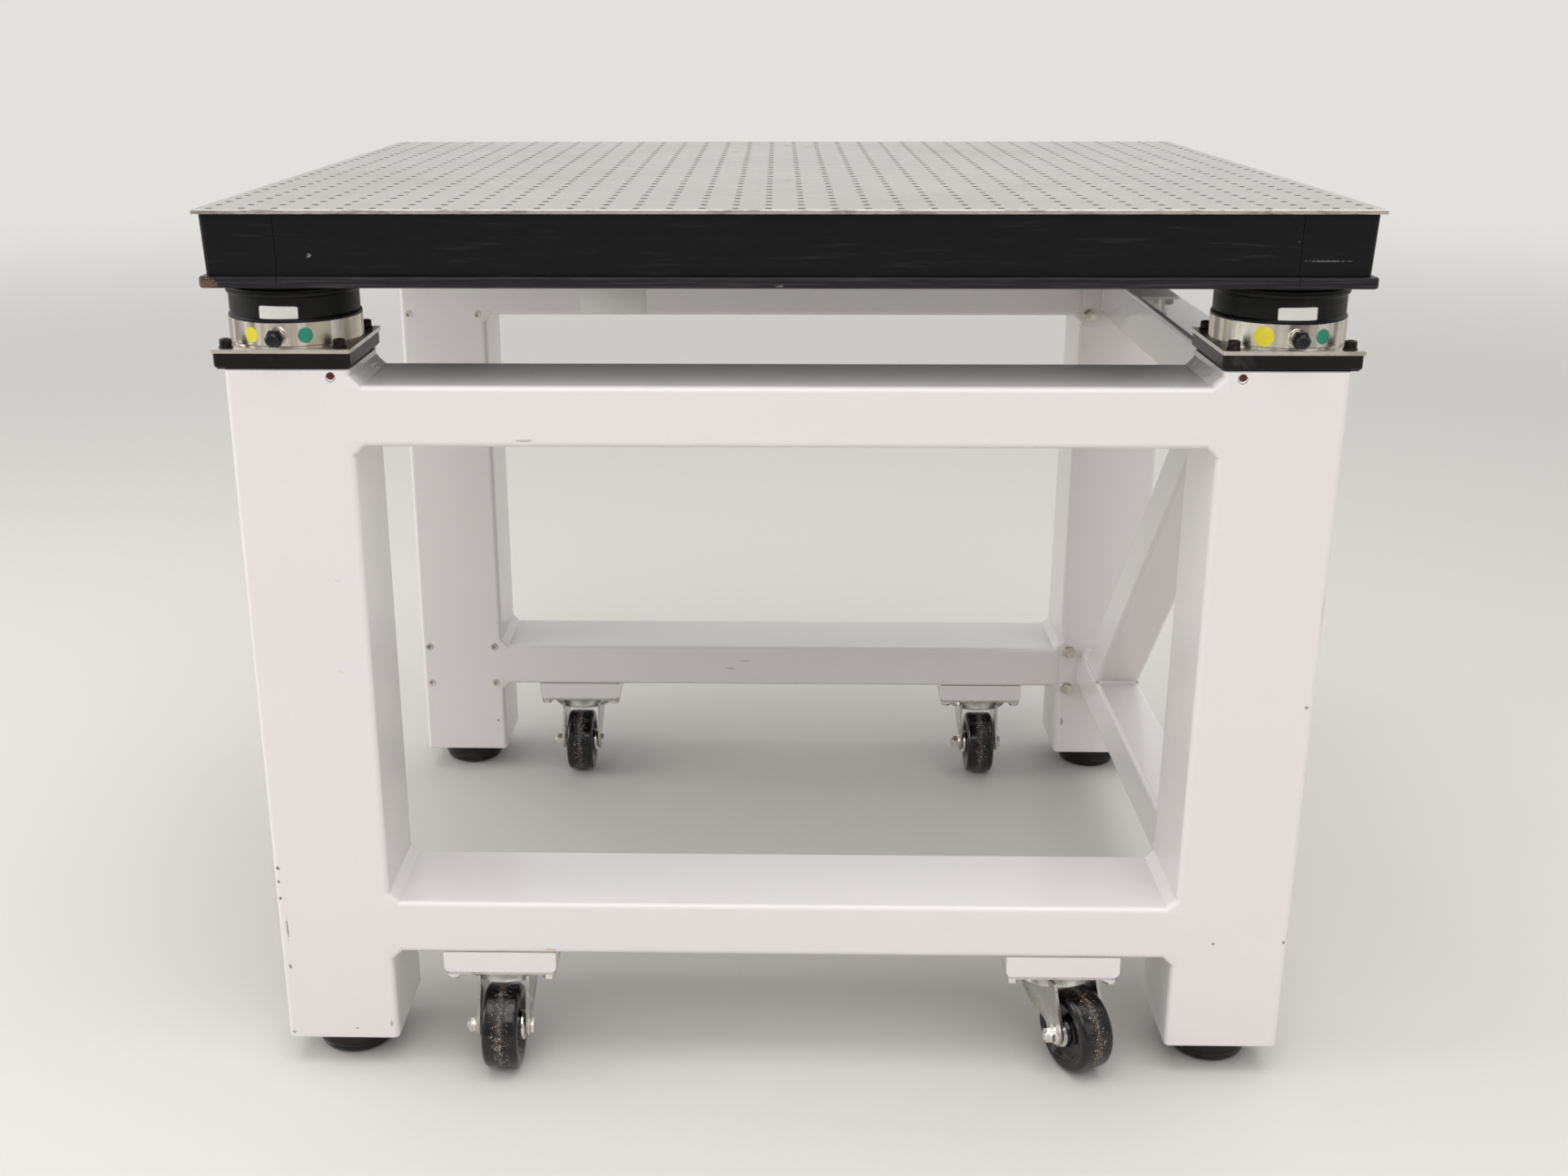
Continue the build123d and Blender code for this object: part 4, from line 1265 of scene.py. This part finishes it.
def wheel_shape(name, place):
    """A wheel with rounded shoulders, a dished side and a raised hub. The axle is the X axis of its place."""
    shape = bmesh.new()
    turned = place @ Matrix.Rotation(math.pi / 2, 4, "Y")
    half = 16.0 * MM
    radius = 37.5 * MM
    shoulder = 4.8 * MM
    side = [(4.05, 17.6), (11.8, 17.4), (12.9, 16.2), (13.8, 12.2), (15, 11.3), (22.4, 11.5), (23.8, 12.4),
            (25.0, 14.4), (26.2, 15.3), (27.6, 15.5), (28.2, 15.2), (28.8, 15.7)]
    profile = [(r, -z) for r, z in millimetres(side)]
    for i in range(8):
        turn = math.pi / 2 * i / 7
        out = shoulder * math.sin(turn)
        profile.append((radius - shoulder + out, -half + shoulder - shoulder * math.cos(turn)))
    profile += [(radius, -4 * MM), (radius, 0)]
    mirrored = [(r, -z) for r, z in profile[:-1]]
    lathe(shape, profile + mirrored[::-1] + [profile[0]], 96, turned)
    tread = shape.verts.layers.float.new("tread")
    back = turned.inverted()
    for vert in shape.verts:
        local = back @ vert.co
        near_rim = (math.hypot(local.x, local.y) - 35.5 * MM) / (1.6 * MM)
        vert[tread] = max(0.0, min(1.0, near_rim)) * max(0.0, 1 - abs(local.z) / (12 * MM))
    return mesh_piece(name, shape, wheel_black)


def axle_shape(name, place):
    """The axle bolt: its bar, a thin head on the right, a flanged nut and the thread's end on the left."""
    shape = bmesh.new()
    right = place @ Matrix.Rotation(math.pi / 2, 4, "Y")
    left = place @ Matrix.Rotation(-math.pi / 2, 4, "Y")
    face = 23.5
    hexagon(shape, 13.0 * MM, face * MM, (face + 3.6) * MM, 0.9 * MM, right)
    lathe(shape, millimetres([(0, -face), (4, -face), (4, face), (0, face)]), 24, right)
    flange = [(4.0, 0), (8.6, 0), (8.9, 0.5), (8.3, 1.3), (6.6, 2.2), (4.0, 2.2), (4.0, 0)]
    lathe(shape, millimetres([(r, face + z) for r, z in flange]), 36, left)
    hexagon(shape, 12.6 * MM, (face + 1.2) * MM, (face + 8.0) * MM, 0.9 * MM, left)
    collar = [(0, 7.8), (5.6, 7.8), (5.4, 8.8), (4.4, 9.4), (4.0, 9.4), (3.8, 10.4), (3.0, 10.8), (0, 10.8)]
    lathe(shape, millimetres([(r, face + z) for r, z in collar]), 28, left)
    return mesh_piece(name, shape, axle_zinc)


def hub_cups(name, place):
    """Pressed cups in both sides of the hub."""
    shape = bmesh.new()
    cup = [(4.05, 20.1), (7.0, 20.1), (7.4, 19.2), (10.2, 18.9), (10.7, 18.0), (11.6, 17.8), (12.1, 18.5), (12.9, 18.5),
           (13.3, 18.0), (13.4, 16.6), (12.8, 16.2), (11.6, 17.1), (4.05, 17.1), (4.05, 20.1)]
    for side in (-1, 1):
        lathe(shape, millimetres(cup), 48, place @ Matrix.Rotation(side * math.pi / 2, 4, "Y"))
    return mesh_piece(name, shape, axle_zinc)


def casters():
    for label in CORNERS:
        pivot = Vector(joints[f"swivel_{label}"]["pos_m"])
        spin = joints[f"spin_{label}"]
        hub = Vector(spin["pos_m"])
        across = Vector(spin["axis"]).normalized()
        turn = Matrix.Rotation(math.atan2(across.y, across.x), 4, "Z")
        place = Matrix.Translation((pivot.x, pivot.y, 0)) @ turn
        axle = Matrix.Translation(hub) @ turn
        shape = bmesh.new()
        fork_shape(shape, place, (hub.xy - pivot.xy).length)
        fork = mesh_piece(f"pressed_fork_{label}", shape, caster_zinc)
        bolt = axle_shape(f"axle_bolt_{label}", axle)
        wheel = wheel_shape(f"wheel_tyre_{label}", axle)
        riding(fork, f"caster_{label}", "caster_zinc", f"caster_fork_{label}")
        riding(bolt, f"caster_{label}", "axle_zinc", f"caster_axle_{label}")
        riding(wheel, f"wheel_{label}", "wheel_rubber", f"caster_wheel_{label}")
        riding(hub_cups(f"hub_cups_{label}", axle), f"wheel_{label}", "axle_zinc")


casters()


# Studio: a pale floor, soft lamps, and the camera at the photograph's place


BACKDROP = colour(226, 225, 222)


def floor():
    shape = bmesh.new()
    reach = 12.0
    spots = [(-reach, -reach, 0), (reach, -reach, 0), (reach, reach, 0), (-reach, reach, 0)]
    shape.faces.new([shape.verts.new(spot) for spot in spots])
    mesh_piece("floor", shape, pale_floor())


def pale_floor():
    """A plain pale floor that fades into the backdrop's colour far from the table."""
    material = bpy.data.materials.new("pale_floor")
    tree = clean_tree(material)
    light = output(tree, "ShaderNodeBsdfPrincipled", None, {"Base Color": colour(205, 203, 200), "Roughness": 0.7})
    glow = output(tree, "ShaderNodeEmission", None, {"Color": BACKDROP, "Strength": 1.0})
    seen = output(tree, "ShaderNodeLightPath", None, None, "Is Camera Ray")
    distance = vector_maths(tree, "LENGTH", stretched(tree), (0, 0, 0), "Value")
    far = times(tree, spread(tree, distance, 1.6, 7.5), seen)
    mixed = output(tree, "ShaderNodeMixShader", None, {0: far, 1: light, 2: glow})
    put(tree, "ShaderNodeOutputMaterial", None, {0: mixed})
    return material


def world():
    """Even soft light. Glossy surfaces see a room that is darker behind the camera."""
    scene.world = bpy.data.worlds.new("studio")
    tree = clean_tree(scene.world)
    path = put(tree, "ShaderNodeLightPath").outputs
    direction = output(tree, "ShaderNodeTexCoord", None, None, "Generated")
    ahead = output(tree, "ShaderNodeSeparateXYZ", None, {0: direction}, 1)
    level = spread(tree, ahead, -0.8, 0.3, 0.4, 0.86)
    lights = (((1.0, 0.99, 0.98, 1), 0.71), ((1.0, 0.995, 0.985, 1), level), (BACKDROP, 1.0))
    dim, room, pale = [output(tree, "ShaderNodeBackground", None, {"Color": tint, "Strength": strength})
                       for tint, strength in lights]
    shown = maths(tree, "MAXIMUM", path["Is Camera Ray"], path["Is Transmission Ray"])
    mirrored = output(tree, "ShaderNodeMixShader", None, {0: path["Is Glossy Ray"], 1: dim, 2: room})
    mixed = output(tree, "ShaderNodeMixShader", None, {0: shown, 1: mirrored, 2: pale})
    put(tree, "ShaderNodeOutputWorld", None, {0: mixed})


def lamp(name, place, target, size, power, tint=(1, 1, 1)):
    data = bpy.data.lights.new(name, "AREA")
    data.shape = "RECTANGLE"
    data.size, data.size_y = size
    data.energy = power
    data.color = tint
    holder = bpy.data.objects.new(name, data)
    holder.location = place
    holder.rotation_euler = (Vector(target) - Vector(place)).to_track_quat("-Z", "Y").to_euler()
    scene.collection.objects.link(holder)


def camera():
    """The photograph's camera, fitted to the corners of the top, the legs, the rails and the feet."""
    focal_pixels = 1859.2
    centre_shift = (-47.16, -6.27)
    pitch_down = 0.32149
    yaw = -0.02144
    roll = 0.00207
    data = bpy.data.cameras.new("camera")
    data.sensor_fit = "HORIZONTAL"
    data.sensor_width = 36.0
    data.lens = focal_pixels * data.sensor_width / PHOTO_WIDTH
    data.shift_x = -centre_shift[0] / PHOTO_WIDTH
    data.shift_y = centre_shift[1] / PHOTO_WIDTH
    data.clip_end = 60
    holder = bpy.data.objects.new("camera", data)
    flat = math.cos(pitch_down)
    forward = Vector((math.sin(yaw) * flat, math.cos(yaw) * flat, -math.sin(pitch_down)))
    level = Vector((math.cos(yaw), -math.sin(yaw), 0))
    down = forward.cross(level)
    right = math.cos(roll) * level + math.sin(roll) * down
    up = math.sin(roll) * level - math.cos(roll) * down
    turn = Matrix((right, up, -forward)).transposed().to_4x4()
    holder.matrix_world = Matrix.Translation((-6.05 * MM, -1685.1 * MM, 903.6 * MM)) @ turn
    scene.collection.objects.link(holder)
    scene.camera = holder


floor()
world()
lamp("overhead", (0.2, -0.6, 3.2), (0, 0.1, 0.4), (3.2, 2.4), 58, (1, 0.99, 0.975))
lamp("front_left", (-2.4, -3.2, 1.9), (0, 0, 0.4), (2.2, 1.8), 6, (1, 0.99, 0.98))
lamp("front_right", (2.6, -2.8, 1.6), (0, 0, 0.4), (1.8, 1.8), 7, (1, 0.99, 0.975))
lamp("front_high", (0.2, -3.0, 3.1), (0, 0, 0.4), (2.6, 1.4), 28, (1, 0.99, 0.98))
lamp("side_left", (-3.2, -0.4, 1.5), (0, 0, 0.4), (2.0, 1.6), 40, (1, 0.99, 0.98))
camera()
scene.view_settings.view_transform = "Standard"
